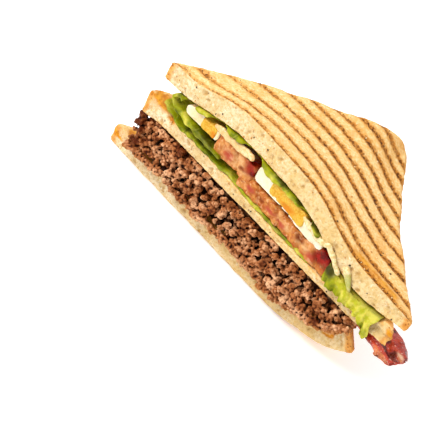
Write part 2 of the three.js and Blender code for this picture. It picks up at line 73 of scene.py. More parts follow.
FINE_RINGS = [0.97, 0.93, 0.88, 0.82, 0.75, 0.67, 0.58, 0.48, 0.38, 0.28, 0.18, 0.09]
VOXELS = Sizes(toast=0.57, filling=0.48, mayonnaise=0.25, core=0.9, crumbles=0.39, side_crumbles=0.5)

# The grill's lines on the toasted faces: each next one lies a little closer and leans a little more
GRILL = Sizes(first=-2.6, pitch=10.3, closer=0.22, count=9, bow=3.0, middle=-6.0, step=3.0, reach=22.0,
              lean=0.0015, edge=0.9, half=3.1)


# Small number helpers
def clamp(t):
    return np.clip(t, 0.0, 1.0)


def mix(a, b, t):
    return a + (b - a) * t


def ease(start, end, x):
    t = clamp((x - start) / (end - start))
    return t * t * (3 - 2 * t)


def bell(x, middle, half):
    return np.exp(-(((x - middle) / half) ** 2))


def unit(rows):
    """The rows as directions of length 1."""
    return rows / np.maximum(1e-12, np.linalg.norm(rows, axis=-1, keepdims=True))


def shown(name, data):
    """A new object in the scene."""
    made = bpy.data.objects.new(name, data)
    bpy.context.scene.collection.objects.link(made)
    return made


# Seeded noise on points in millimetres
X_FACTOR = 374761393
Y_FACTOR = 668265263
Z_FACTOR = 2147483647
SEED_FACTOR = 144269
LAST_FACTOR = 1274126177
LOW_BITS = 0xFFFFFFFF
DRAW_BITS = 0xFFFFFF
FAR = 99.0


def hashed(cells, seed):
    """A seeded draw from 0 to 1 for each cell, given by three whole numbers."""
    mixed = cells[..., 0] * X_FACTOR + cells[..., 1] * Y_FACTOR + cells[..., 2] * Z_FACTOR
    mixed = (mixed + seed * SEED_FACTOR) & LOW_BITS
    mixed = ((mixed ^ (mixed >> 13)) * LAST_FACTOR) & LOW_BITS
    return ((mixed ^ (mixed >> 16)) & DRAW_BITS) / DRAW_BITS


def noise(points, size, seed):
    """Smooth noise from -1 to 1 with bumps of about that size."""
    scaled = points / size
    base = np.floor(scaled).astype(np.int64)
    part = scaled - base
    part = part * part * (3 - 2 * part)
    total = np.zeros(len(points))
    for corner in np.ndindex(2, 2, 2):
        weight = np.prod(np.where(corner, part, 1 - part), axis=-1)
        total += weight * hashed(base + np.array(corner), seed)
    return 2 * total - 1


def cells(points, size, seed):
    """How far each point is from the nearest seeded cell centre, in cells, and that cell's draw."""
    scaled = points / size
    base = np.floor(scaled).astype(np.int64)
    near = np.full(len(points), FAR)
    drawn = np.zeros(len(points))
    for step in np.ndindex(3, 3, 3):
        cell = base + np.array(step) - 1
        jitter = np.stack([hashed(cell, seed + axis) for axis in range(3)], axis=-1)
        away = np.linalg.norm(scaled - cell - jitter, axis=-1)
        closer = away < near
        near = np.where(closer, away, near)
        drawn = np.where(closer, hashed(cell, seed + 3), drawn)
    return near, drawn


# Where a place lies against the two crust sides of a slice: how deep inside, and how far along
def sides(sizes, x, y):
    found = []
    for tip, way in ((sizes.left, 1), (sizes.right, -1)):
        run = abs(sizes.corner - tip)
        length = np.hypot(run, SLICE_DEPTH)
        depth = (way * (x - tip) * SLICE_DEPTH - y * run) / length
        along = clamp((way * (x - tip) * run + y * SLICE_DEPTH) / length / length)
        found.append((depth, along))
    return found


def crust_depth(sizes, x, y):
    (left, _), (right, _) = sides(sizes, x, y)
    return np.minimum(left, right)


def crustiness(sizes, x, y):
    return np.exp(-(np.maximum(0, crust_depth(sizes, x, y)) / CRUST) ** 2)


# Heights of the slices' faces
def top_face(x, y):
    (left, left_along), (right, right_along) = sides(TOP, x, y)
    along = clamp((x - TOP.left) / (TOP.right - TOP.left))
    dome = mix(DOME.left, DOME.right, along)
    dome = dome + DOME.rise * np.exp(-((x - DOME.middle) / DOME.half) ** 4)
    left_height = (mix(LEFT_SIDE.tip, LEFT_SIDE.corner, left_along)
                   + LEFT_SIDE.rise * np.sin(np.pi * left_along)
                   + LEFT_SIDE.shoulder * bell(left_along, 0.86, 0.12))
    right_height = (mix(RIGHT_SIDE.tip, RIGHT_SIDE.corner, right_along ** 5)
                    - RIGHT_SIDE.sag * (1 - right_along / 2) * np.sin(np.pi * right_along))
    total = 0
    height = 0
    for depth, part in ((y, dome), (left, left_height), (right, right_height)):
        weight = 1 / (np.maximum(0, depth) + 0.6) ** 1.5
        total = total + weight
        height = height + weight * part
    return height / total


def top_under(x, y):
    thinner = TOP.right_thinner * ease(54, 72, x) + TOP.left_thinner * ease(-30, -48, x)
    return top_face(x, y) - TOP.thick + thinner


def middle_under(x, y):
    (left, left_along), (right, right_along) = sides(MIDDLE, x, y)
    ends = MIDDLE.right_rise * ease(58, 74, x) - MIDDLE.left_dip * ease(-58, -69, x)
    lift = MIDDLE.lift * bell(left, 0, 18) * np.sin(np.pi * left_along)
    droop = MIDDLE.droop * bell(right, 0, 17) * np.sin(np.pi * right_along)
    return MIDDLE.floor + ends + (lift - droop) * ease(0, 20, y)


def middle_face(x, y):
    firm = MIDDLE.firm * crustiness(MIDDLE, x, y) + MIDDLE.inner * ease(0, 12, y)
    ends = MIDDLE.left_thicker * ease(-60, -69, x) + MIDDLE.right_thicker * ease(60, 70, x)
    thick = mix(MIDDLE.thick, MIDDLE.squeezed, ease(-30, 12, x))
    fitted = middle_under(x, y) + thick + firm + ends
    return np.minimum(fitted, top_under(x, y) - 1.9 + 0.9 * ease(60, 72, x))


def bottom_thick(x, y):
    return BOTTOM.thick + BOTTOM.firm * crustiness(BOTTOM, x, y)


def curled(length, height):
    """The bottom slice's bend: a length from the left and a height in the bread give x and z."""
    def slope(t):
        return CURL.gentle * ease(0, 14, t) + CURL.tip * ease(22, 50, t)

    beyond = np.maximum(0, length - CURL.start)
    x = np.minimum(length, CURL.start)
    z = 0
    for i in range(CURL.steps):
        bend = slope(beyond * (i + 0.5) / CURL.steps)
        x = x + np.cos(bend) * beyond / CURL.steps
        z = z + np.sin(bend) * beyond / CURL.steps
    end = slope(beyond)
    return x - np.sin(end) * height, z + np.cos(end) * height


def bottom_face(x, y):
    """The height of the bottom slice's bent upper face, found by halving the length's range."""
    thick = bottom_thick(x, y)
    low = np.full(np.shape(x), BOTTOM.left - 5)
    high = np.full(np.shape(x), BOTTOM.right + 25)
    for _ in range(CURL.halvings):
        middle = (low + high) / 2
        short = curled(middle, thick)[0] < x
        low = np.where(short, middle, low)
        high = np.where(short, high, middle)
    return curled(low, thick)[1]


def hem(x):
    """The height that the heap's front hangs down to, over the bottom slice's cut face."""
    hang = 2.1 - 2.4 * bell(x, -44.5, 2.5) - 1.5 * bell(x, -2, 9) + 1.1 * bell(x, 26, 6)
    return bottom_face(x, np.zeros(np.shape(x))) - hang - 1.5 * ease(-62, -70, x) + 1.6 * ease(44, 58, x)


def between(x, y, height):
    """A height given at the cut, carried inwards between the middle and the top slice."""
    share = (height - middle_face(x, 0)) / (top_under(x, 0) - middle_face(x, 0))
    return mix(middle_face(x, y), top_under(x, y), share)


# Plan outlines as rows of x, y and softness, which is 0 along the cut
def arc(cx, cy, start, end, count):
    angle = np.radians(np.linspace(start, end, count))
    x = cx + CORNER_RADIUS * np.cos(angle)
    y = cy + CORNER_RADIUS * np.sin(angle)
    return np.c_[x, y, np.ones(count)]


def line(start, end, count, soft, hollow=0.0):
    t = np.arange(1, count + 1)[:, None] / (count + 1)
    points = mix(start[None, :2], end[None, :2], t)
    if count > 1:
        way = points[-1] - points[0]
        inwards = np.array([-way[1], way[0]]) / np.hypot(*way)
        points = points + hollow * np.sin(np.pi * t) * inwards
    return np.c_[points, np.full(count, soft)]


def half_square(sizes, along_cut, along_side, finer=1):
    r = CORNER_RADIUS
    right_tip = arc(sizes.right - r, 0, 0, 45, 4 * finer)
    corner = arc(sizes.corner, SLICE_DEPTH - r, 45, 135, 6 * finer)
    left_tip = arc(sizes.left + r, 0, 135, 180, 4 * finer)
    right_tip[0, 2] = 0.3
    left_tip[-1, 2] = 0.3
    outline = np.vstack([
        line(left_tip[-1], right_tip[0], along_cut, 0.0),
        right_tip,
        line(right_tip[-1], corner[0], along_side, 1.0, SIDE_HOLLOW),
        corner,
        line(corner[-1], left_tip[0], along_side, 1.0, SIDE_HOLLOW),
        left_tip,
    ])
    turn = np.arctan2(outline[:, 1] - 24, outline[:, 0])
    wobble = outline[:, 2] * (0.5 * np.sin(5 * turn + sizes.left) + 0.35 * np.sin(11 * turn))
    outline[:, 0] += wobble * np.cos(turn)
    free = (outline[:, 2] == 1) & (outline[:, 1] > 1)
    outline[:, 1] += np.where(free, wobble * np.sin(turn), 0)
    return outline


# Closed meshes as an array of points and an array of four-sided faces
def stacked(rows, ends):
    count = len(rows[0])
    points = np.vstack([*rows, *ends])
    i = np.arange(count)
    following = (i + 1) % count
    faces = []
    for row in range(len(rows) - 1):
        a = row * count + i
        b = row * count + following
        faces.append(np.c_[a, b, b + count, a + count])
    last = (len(rows) - 1) * count
    low = np.full(count, len(rows) * count)
    faces.append(np.c_[low, following, i, i])
    faces.append(np.c_[low + 1, last + i, last + following, last + following])
    return points, np.vstack(faces)


def layer(outline, centre, rings, lower, upper, rim, front=(0.0, 0.0), wall_rows=6):
    """A closed layer between two height functions, with a round rim and a moved cut side."""
    x, y, soft = outline.T
    away = np.hypot(x - centre[0], y - centre[1])
    grip = np.maximum(0.12, soft)

    def ring(inset, scale, forward):
        s = scale * (1 - inset * grip / away)
        return centre[0] + (x - centre[0]) * s, centre[1] + (y - centre[1]) * s - forward * (1 - soft)

    def row(inset, scale, forward, height):
        px, py = ring(inset, scale, forward)
        return np.c_[px, py, height(px, py)]

    def cap(px, py):
        return np.minimum(grip * rim, 0.42 * (upper(px, py) - lower(px, py)))

    rows = [row(rim, scale, 0, lower) for scale in reversed(rings)]
    for turn in np.linspace(0, np.pi / 2, 5):
        rows.append(row(rim * (1 - np.sin(turn)), 1, front[0],
                        lambda px, py: lower(px, py) + cap(px, py) * (1 - np.cos(turn))))
    for share in np.linspace(0, 1, wall_rows + 2)[1:-1]:
        rows.append(row(0, 1, mix(*front, share),
                        lambda px, py: mix(lower(px, py) + cap(px, py), upper(px, py) - cap(px, py), share)))
    for turn in np.linspace(np.pi / 2, 0, 5):
        rows.append(row(rim * (1 - np.sin(turn)), 1, front[1],
                        lambda px, py: upper(px, py) - cap(px, py) * (1 - np.cos(turn))))
    rows += [row(rim, scale, 0, upper) for scale in rings]
    cx, cy = (np.array([value]) for value in centre)
    ends = [np.c_[cx, cy, face(cx, cy)] for face in (lower, upper)]
    return stacked(rows, ends)


def leaf(surface, along_u, along_v, thick):
    """A thin wavy leaf, its middle given by surface(u, v), thickened along its normal."""
    u, v = np.meshgrid(np.linspace(0, 1, along_u + 1), np.linspace(0, 1, along_v + 1))
    step = 1e-3
    middle = surface(u, v)
    du = surface(u + step, v) - middle
    dv = surface(u, v + step) - middle
    normal = unit(np.cross(du, dv))
    edge = np.minimum(np.minimum(u, 1 - u) * along_u, np.minimum(v, 1 - v) * along_v)
    half = (thick / 2) * mix(0.45, 1, clamp(edge / 2))[..., None]
    points = np.vstack([(middle + normal * half).reshape(-1, 3), (middle - normal * half).reshape(-1, 3)])
    row = along_u + 1
    shift = row * (along_v + 1)
    i, j = (grid.ravel() for grid in np.meshgrid(np.arange(along_u), np.arange(along_v)))
    a = j * row + i
    front = np.c_[a, a + 1, a + 1 + row, a + row]
    near = np.arange(along_u)
    far = near + along_v * row
    first = np.arange(along_v) * row
    last = first + along_u
    return points, np.vstack([
        front,
        front[:, ::-1] + shift,
        np.c_[near + shift, near + 1 + shift, near + 1, near],
        np.c_[far, far + 1, far + 1 + shift, far + shift],
        np.c_[first, first + row, first + row + shift, first + shift],
        np.c_[last + shift, last + row + shift, last + row, last],
    ])


def joined(parts):
    """Several meshes of points and faces as one."""
    points = np.vstack([part[0] for part in parts])
    starts = np.cumsum([0] + [len(part[0]) for part in parts[:-1]])
    return points, np.vstack([part[1] + start for part, start in zip(parts, starts)])


def face_lists(faces):
    """Faces for Blender, without the repeated corner that marks a triangle."""
    flat = faces.tolist()
    return [face if face[3] != face[2] else face[:3] for face in flat]


def ball(detail):
    """Points and faces of a unit ball made of triangles."""
    mesh = bpy.data.meshes.new("ball")
    made = bmesh.new()
    bmesh.ops.create_icosphere(made, subdivisions=detail, radius=1.0)
    made.to_mesh(mesh)
    made.free()
    points = np.array([v.co for v in mesh.vertices])
    faces = np.array([[*p.vertices, p.vertices[2]] for p in mesh.polygons])
    bpy.data.meshes.remove(mesh)
    return points, faces


def remeshed(points, faces, voxel):
    """The same closed shape as an even net of small squares: points, faces, outward directions."""
    mesh = bpy.data.meshes.new("rough")
    mesh.from_pydata(points.tolist(), [], face_lists(faces))
    rough = shown("rough", mesh)
    even = rough.modifiers.new("even", "REMESH")
    even.mode = "VOXEL"
    even.voxel_size = voxel
    result = rough.evaluated_get(bpy.context.evaluated_depsgraph_get())
    found = read_net(result.to_mesh())
    result.to_mesh_clear()
    bpy.data.objects.remove(rough)
    bpy.data.meshes.remove(mesh)
    return found


def listed(things, field, each=1, kind=float):
    """One field of many vertices, corners or faces as an array."""
    found = np.empty(len(things) * each, kind)
    things.foreach_get(field, found)
    return found


def read_net(net):
    """A mesh as points, faces and outward directions."""
    corners = listed(net.loops, "vertex_index", kind=np.int64)
    starts = listed(net.polygons, "loop_start", kind=np.int64)
    sizes = listed(net.polygons, "loop_total", kind=np.int64)
    last = starts + np.minimum(sizes - 1, 3)
    faces = np.c_[corners[starts], corners[starts + 1], corners[starts + 2], corners[last]]
    points = listed(net.vertices, "co", 3).reshape(-1, 3)
    return points, faces, listed(net.vertex_normals, "vector", 3).reshape(-1, 3)


def summed(index, rows, count):
    """The rows of x, y and z added up at each index."""
    return np.column_stack([np.bincount(index, rows[:, axis], count) for axis in range(3)])


def smoothed(points, faces, rounds):
    """Each point moves halfway to the middle of its neighbours, some rounds long."""
    near = faces.ravel()
    far = np.roll(faces, -1, axis=1).ravel()
    near, far = np.concatenate([near, far]), np.concatenate([far, near])
    total = np.maximum(1, np.bincount(near, minlength=len(points)))[:, None]
    for _ in range(rounds):
        points = mix(points, summed(near, points[far], len(points)) / total, 0.5)
    return points


def directions(points, faces):
    """Outward directions at the points of a net."""
    a, b, c, d = (points[faces[:, k]] for k in range(4))
    triangle = (faces[:, 3] == faces[:, 2])[:, None]
    flat = np.where(triangle, np.cross(b - a, c - a), np.cross(c - a, d - b))
    return unit(sum(summed(faces[:, k], flat, len(points)) for k in range(4)))


def pushed(points, faces, amount):
    """The points of a net moved outwards."""
    return points + directions(points, faces) * amount[:, None]


# From the sandwich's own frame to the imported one
middle_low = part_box("bread_middle")[0]
SHIFT = np.array([
    middle_low.x * 1000 - half_square(MIDDLE, 16, 8)[:, 0].min(),
    middle_low.y * 1000,
    0.0,
])


def placed(points):
    return (points + SHIFT) / 1000


def solid_of(node):
    """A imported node's mesh in the sandwich's own frame."""
    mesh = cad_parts[node].data
    points, faces, _ = read_net(mesh)
    kept, first = np.unique(np.round(points * 1e6).astype(np.int64), axis=0, return_inverse=True)
    return kept / 1000 - SHIFT, first.ravel()[faces]


def piece(name, points, faces, material, replaces=(), fields=None):
    """A finished piece of the sandwich, with the numbers by place that its material uses."""
    mesh = bpy.data.meshes.new(name)
    mesh.from_pydata(placed(points).tolist(), [], face_lists(faces))
    mesh.polygons.foreach_set("use_smooth", np.ones(len(mesh.polygons), bool))
    for field, values in (fields or {}).items():
        mesh.attributes.new(field, "FLOAT", "POINT").data.foreach_set("value", np.asarray(values, np.float32))
    made = shown(name, mesh)
    mesh.materials.append(PAINTS[material])
    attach(made, "root")
    if replaces:
        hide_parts(*replaces)


# Materials by name
PAINTS = {}


def linear(code):
    """A colour code of six hexadecimal digits as linear light, with full opacity."""
    parts = [int(code[i:i + 2], 16) / 255 for i in (0, 2, 4)]
    return (*[p / 12.92 if p <= 0.04045 else ((p + 0.055) / 1.055) ** 2.4 for p in parts], 1.0)


class Paint:
    """A material's nodes, with one short call for each kind. Sizes are in millimetres."""

    def __init__(self, name):
        self.material = PAINTS[name] = bpy.data.materials.new(name)
        self.material.use_nodes = True
        self.tree = self.material.node_tree
        self.shader = self.tree.nodes["Principled BSDF"]
        self.place = self.node("ShaderNodeTexCoord").outputs["Object"]

    def feed(self, socket, value):
        if isinstance(value, bpy.types.NodeSocket):
            self.tree.links.new(value, socket)
        else:
            socket.default_value = linear(value) if isinstance(value, str) else value

    def node(self, kind, inputs=None, **settings):
        made = self.tree.nodes.new(kind)
        for name, value in settings.items():
            setattr(made, name, value)
        for name, value in (inputs or {}).items():
            self.feed(made.inputs[name], value)
        return made

    def field(self, name):
        return self.node("ShaderNodeAttribute", attribute_name=name).outputs["Fac"]

    def noise(self, size, detail=3.0, rough=0.55, stretch=None):
        place = self.place
        if stretch:
            place = self.node("ShaderNodeVectorMath", {0: place, 1: stretch}, operation="MULTIPLY").outputs[0]
        inputs = {"Vector": place, "Scale": 1000 / size, "Detail": detail, "Roughness": rough}
        return self.node("ShaderNodeTexNoise", inputs).outputs["Fac"]

    def cells(self, size):
        inputs = {"Vector": self.place, "Scale": 1000 / size}
        return self.node("ShaderNodeTexVoronoi", inputs).outputs["Distance"]

    def span(self, value, low, high, start=0.0, end=1.0):
        inputs = {"Value": value, "From Min": low, "From Max": high, "To Min": start, "To Max": end}
        return self.node("ShaderNodeMapRange", inputs, interpolation_type="SMOOTHSTEP").outputs["Result"]

    def patchy(self, size, low, high, detail=3.0, rough=0.55):
        """Patches from 0 to 1: the noise between a low and a high value."""
        return self.span(self.noise(size, detail, rough), low, high)

    def uneven(self, size, start, end, detail=3.0):
        """A roughness that goes from the start to the end in patches."""
        return self.span(self.noise(size, detail), 0.3, 0.7, start, end)

    def times(self, a, b):
        return self.node("ShaderNodeMath", {0: a, 1: b}, operation="MULTIPLY").outputs[0]

    def plus(self, a, b):
        return self.node("ShaderNodeMath", {0: a, 1: b}, operation="ADD").outputs[0]

    def tint(self, base, *layers):
        """The base colour under layers, each a colour, its amount or that amount's field, and a share."""
        for colour, amount, *share in layers:
            if isinstance(amount, str):
                amount = self.field(amount)
            if share:
                amount = self.times(amount, share[0])
            made = self.node("ShaderNodeMix", {0: amount, 6: base, 7: colour}, data_type="RGBA")
            base = made.outputs[2]
        return base

    def mottled(self, base, colour, size, low=0.35, high=0.65, detail=3.0, rough=0.55):
        return self.tint(base, (colour, self.patchy(size, low, high, detail, rough)))

    def bump(self, height, depth):
        return self.node("ShaderNodeBump", {"Height": height, "Distance": depth / 1000}).outputs["Normal"]

    def finish(self, colour, roughness, normal=None, **constants):
        self.feed(self.shader.inputs["Base Color"], colour)
        self.feed(self.shader.inputs["Roughness"], roughness)
        if normal:
            self.feed(self.shader.inputs["Normal"], normal)
        for name, value in constants.items():
            self.shader.inputs[name.replace("_", " ")].default_value = value
        return self.material


def toast_paint():
    p = Paint("toast")
    stripe, stain = p.field("stripe"), p.field("stain")
    grain = p.noise(1.1, 4, 0.7)
    soaked = p.tint(p.mottled("c27000", "e09a1c", 2.5), ("9c5406", p.span(grain, 0.45, 0.3), 0.5))
    # The crumb of the cut face: cream with tan clouds, whitish flecks and grey-green specks
    crumb = p.tint(
        p.mottled("e9d7b1", "dbc08c", 8),
        ("cda768", p.span(grain, 0.54, 0.36), 0.85),
        ("fdf3dc", p.patchy(1.6, 0.58, 0.72, rough=0.7), 0.8),
        ("98894c", p.times(p.span(p.cells(2.1), 0.2, 0.1), p.patchy(6, 0.45, 0.6, 2)), 0.55),
        ("dbb468", "warm", 0.5),
        ("b0803c", "pore", 0.75),
        (soaked, stain),
    )
    # The toasted faces: golden, browner in patches and towards the crust, with the grill's stripes, which
    # are a brown band broken up into darker dots
    broken = p.plus(stripe, p.span(p.noise(1.9, 4, 0.7), 0.25, 0.75, -0.3, 0.3))
    dotted = p.plus(stripe, p.span(p.noise(1.05, 3, 0.75), 0.35, 0.65, -0.55, 0.35))
    face = p.tint(
        "e9b768",
        ("f8dca4", p.span(grain, 0.35, 0.65)),
        ("e4a14b", p.patchy(13, 0.45, 0.75, 4, 0.6), 0.6),
        ("dd9646", "edge", 0.08),
        (soaked, stain, 0.9),
        ("7e4410", p.span(p.cells(1.5), 0.16, 0.05), p.plus(p.times(stain, 0.5), 0.35)),
        ("e2a04a", p.span(broken, 0.08, 0.5), 0.7),
        ("ab620c", p.span(broken, 0.4, 0.8), 0.85),
        ("4a2205", p.span(dotted, 0.64, 0.94), 0.9),
    )
    crust = p.tint(
        p.mottled("cf8838", "e6ae62", 2.2, 0.35, 0.7, 4),
        ("83460f", p.span(p.cells(1.5), 0.34, 0.1), 0.8),
        (soaked, stain, 0.9),
    )
    normal = p.bump(p.plus(grain, p.times(p.noise(0.5, 3, 0.6), 0.6)), 0.4)
    p.finish(p.tint(face, (crumb, "cut"), (crust, "rind")), p.span(grain, 0.3, 0.7, 0.75, 0.95), normal,
             Specular_IOR_Level=0.2)


def beef_paint():
    p = Paint("cooked_beef")
    tone_and_highlight = p.field("tone_and_highlight")
    grain = p.noise(0.9, 4, 0.65)
    # Random tone with a painted highlight on the lumps' tops, then painted shade in the creases and in the
    # deep gaps
    meat = p.tint(
        "5a2408",
        ("ae6a3c", p.span(tone_and_highlight, 0.0, 0.5)),
        ("f0ba8c", p.span(tone_and_highlight, 0.35, 1.1)),
        ("8f5220", p.patchy(3.2, 0.5, 0.75), 0.4),
        ("b9752c", "oily", 0.6),
        ("4c1e06", p.span(grain, 0.5, 0.35), 0.6),
        # painted shade in the creases between the lumps
        ("2a0a02", "crease_shade", 0.9),
        # painted shade in the deep gaps and the set-back parts
        ("1c0401", "deep"),
    )
    normal = p.bump(p.plus(grain, p.times(p.noise(0.4, 2), 0.5)), 0.4)
    p.finish(meat, p.span(p.noise(1.4, 3), 0.35, 0.65, 0.3, 0.55), normal, Specular_IOR_Level=0.08)


def leaf_paint():
    p = Paint("lettuce")
    vein = p.field("vein")
    green = p.tint(
        p.mottled("5f6800", "929600", 4),
        ("c4c24c", vein, 0.35),
        (p.mottled("aeac1e", "cdc24e", 3, 0.4, 0.6), "pale"),
        # painted shade: darker where the leaves lie in shade, under the top slice and the fillings and in the
        # fold's hollows
        ("2f2b03", "dark"),
    )
    normal = p.bump(p.plus(p.noise(1.2, 3), p.times(vein, 0.5)), 0.25)
    p.finish(green, p.uneven(2, 0.35, 0.55), normal, Subsurface_Weight=0.08, Subsurface_Scale=0.001,
             Specular_IOR_Level=0.14)


def tomato_paint():
    p = Paint("tomato")
    flesh = p.tint(
        p.mottled("a85620", "c6803c", 2.0),
        ("e6b482", p.patchy(1.3, 0.55, 0.7), 0.6),
        ("e2a768", p.span(p.field("chunk"), 0.35, 0.6), 0.55),
        (p.mottled("c48448", "dcac74", 1.8), "peach"),
        ("a8442c", "pink"),
        ("7a3204", "brown"),
        ("e8b98a", p.span(p.noise(3.5, 2, 0.5, (0.4, 1, 1)), 0.58, 0.7), 0.4),
        ("8e1e04", "ruby"),
        (p.mottled("560200", "900c02", 2.4, 0.4, 0.65, 2), "dark"),
    )
    p.finish(flesh, p.uneven(1.5, 0.22, 0.42, 2), p.bump(p.noise(0.9, 3), 0.25), Subsurface_Weight=0.05,
             Subsurface_Scale=0.001, Specular_IOR_Level=0.12)


def egg_paints():
    p = Paint("egg_white")
    white = p.tint(p.mottled("efe2cc", "e6d6b4", 4, detail=2), ("e2c07c", "rich", 0.6))
    p.finish(white, p.uneven(2, 0.3, 0.45, 2), p.bump(p.noise(1.5, 2), 0.15), Subsurface_Weight=0.25,
             Subsurface_Scale=0.0015, Specular_IOR_Level=0.35)
    p = Paint("egg_yolk")
    yolk = p.mottled("d2a228", "cc900c", 3.5)
    yolk = p.tint(yolk, ("e6bc50", p.patchy(0.8, 0.6, 0.4), 0.6), ("cc7c02", "rich"))
    p.finish(yolk, 0.6, p.bump(p.noise(0.7, 3), 0.3), Subsurface_Weight=0.15, Subsurface_Scale=0.001,
             Specular_IOR_Level=0.25)


def mayonnaise_paint():
    p = Paint("mayonnaise")
    tint = p.mottled("e2d3a2", "d2b878", 1.5, 0.4, 0.6, 2)
    tint = p.tint(tint, ("a2a644", "green", 0.8), ("d8a866", "warm", 0.7))
    p.finish(tint, p.uneven(1.2, 0.18, 0.3, 2), p.bump(p.noise(1.0, 2), 0.15), Subsurface_Weight=0.2,
             Subsurface_Scale=0.001)


def bacon_paint():
    p = Paint("bacon")
    meat = p.tint(
        p.mottled("a8200c", "da5034", 2.6, detail=4, rough=0.65),
        # painted sheen: a rosy highlight over the bacon's far part
        ("c26a66", "rosy_sheen"),
        (p.mottled("c4702a", "e0a05c", 1.4, 0.4, 0.6), "fat"),
        # painted highlights: small pale glints across the meat
        ("eab0a0", p.patchy(0.9, 0.62, 0.7, 2)),
        ("ffd0a8", "pale"),
        # painted shade in the hollows of the relief
        ("3c0704", "crease_shade", 0.8),
    )
    p.finish(meat, p.uneven(1.3, 0.08, 0.3), p.bump(p.noise(1.0, 4), 0.6), Specular_IOR_Level=0.5)


def grain_paints():
    p = Paint("crumbs")
    p.finish(p.mottled("c98a44", "f3dca6", 1.5, 0.4, 0.6, 2), 0.9, p.bump(p.noise(0.4, 3), 0.2))
    p = Paint("pepper")
    p.finish(p.tint("2a1c0a", ("5a4420", p.noise(0.4, 3))), 0.7, p.bump(p.noise(0.3, 2), 0.1))


for prepare in (toast_paint, beef_paint, leaf_paint, tomato_paint, egg_paints, mayonnaise_paint,
                bacon_paint, grain_paints):
    prepare()


# Colour by place
def spots(points, places):
    """The strongest of several soft spots, each with its x, z, half width and half height."""
    strongest = np.zeros(len(points))
    for x, z, wide, high in places:
        away = ((points[:, 0] - x) / wide) ** 2 + ((points[:, 2] - z) / high) ** 2
        strongest = np.maximum(strongest, np.exp(-away ** 2))
    return strongest


def streak(points, start, end, half):
    """How near each point is to a line between two places given as x and z, from 0 to 1."""
    start, way = np.array(start), np.subtract(end, start)
    place = points[:, [0, 2]] - start
    t = clamp(place @ way / (way @ way))[:, None]
    return np.exp(-(np.linalg.norm(place - t * way, axis=1) / half) ** 2)


def shaken(points, size, amount, seed):
    """The points with a seeded unevenness, for colours and pores with ragged outlines."""
    moves = [noise(points, size, seed + axis) for axis in range(3)]
    return points + amount * np.column_stack(moves)


# Bread, with its soaked spots, each with its x, z, half width and half height
STAINS = {
    "toast_bottom": [(-76, 5, 3.8, 1.3), (-70, 9.6, 2.8, 1.1), (55.8, 14.6, 1.7, 1.5), (52.0, 12.6, 5, 0.9)],
    "toast_middle": [(-63, 35.4, 8.5, 3.6), (-54.9, 30.7, 2.0, 1.4), (74.2, 34.0, 1.9, 1.5)],
    "toast_top": [(51, 47.8, 7, 2.4), (60, 46.8, 9, 2.4)],
}


def pores(points, seed):
    """Large and small pores of crumb and toast, each from 0 to 1."""
    ragged = shaken(points, 1.4, 0.5, seed + 40)
    large, drawn = cells(ragged, 2.9, seed)
    small, _ = cells(ragged, 1.25, seed + 10)
    return ease(0.42, 0.2, large) * ease(0.6, 0.85, drawn), ease(0.45, 0.15, small)


def soaked_crumb(sizes, points, moved, cut):
    """Where juice soaks the bread, from 0 to 1: in seeded spots, and below and behind the beef."""
    x, y, _ = points.T
    ragged = shaken(moved, 3, 1.4, sizes.seed + 50)
    blotches = ease(-1.2, -0.4, noise(points, 2.2, sizes.seed + 53))
    soaked = clamp(1.6 * spots(ragged, STAINS[sizes.name])) * ease(7, 4, y) * blotches
    if sizes is BOTTOM:
        below = hem(ragged[:, 0]) - ragged[:, 2]
        hidden = ease(-0.2, -1.0, below) * ease(-72, -68, x) * ease(64, 60, x)
        soaked = np.maximum(soaked, 0.3 * ease(1.6, 0.2, below) * cut)
        soaked = np.maximum(soaked, 0.95 * hidden * ease(8, 5, y))
    return soaked


def grill_lines(x, y):
    """How near a place is to the middle of a grill stripe, from 0 to 1."""
    nearest = np.full(np.shape(x), FAR)
    for k in range(GRILL.count):
        middle = GRILL.first + GRILL.pitch * k - GRILL.closer * k ** 2 + GRILL.lean * k ** 2 * (x - 4)
        middle = middle + GRILL.bow * bell(x, GRILL.middle + GRILL.step * k, GRILL.reach)
        nearest = np.minimum(nearest, np.abs(y - np.maximum(middle, GRILL.edge)))
    return clamp(1 - nearest / GRILL.half)


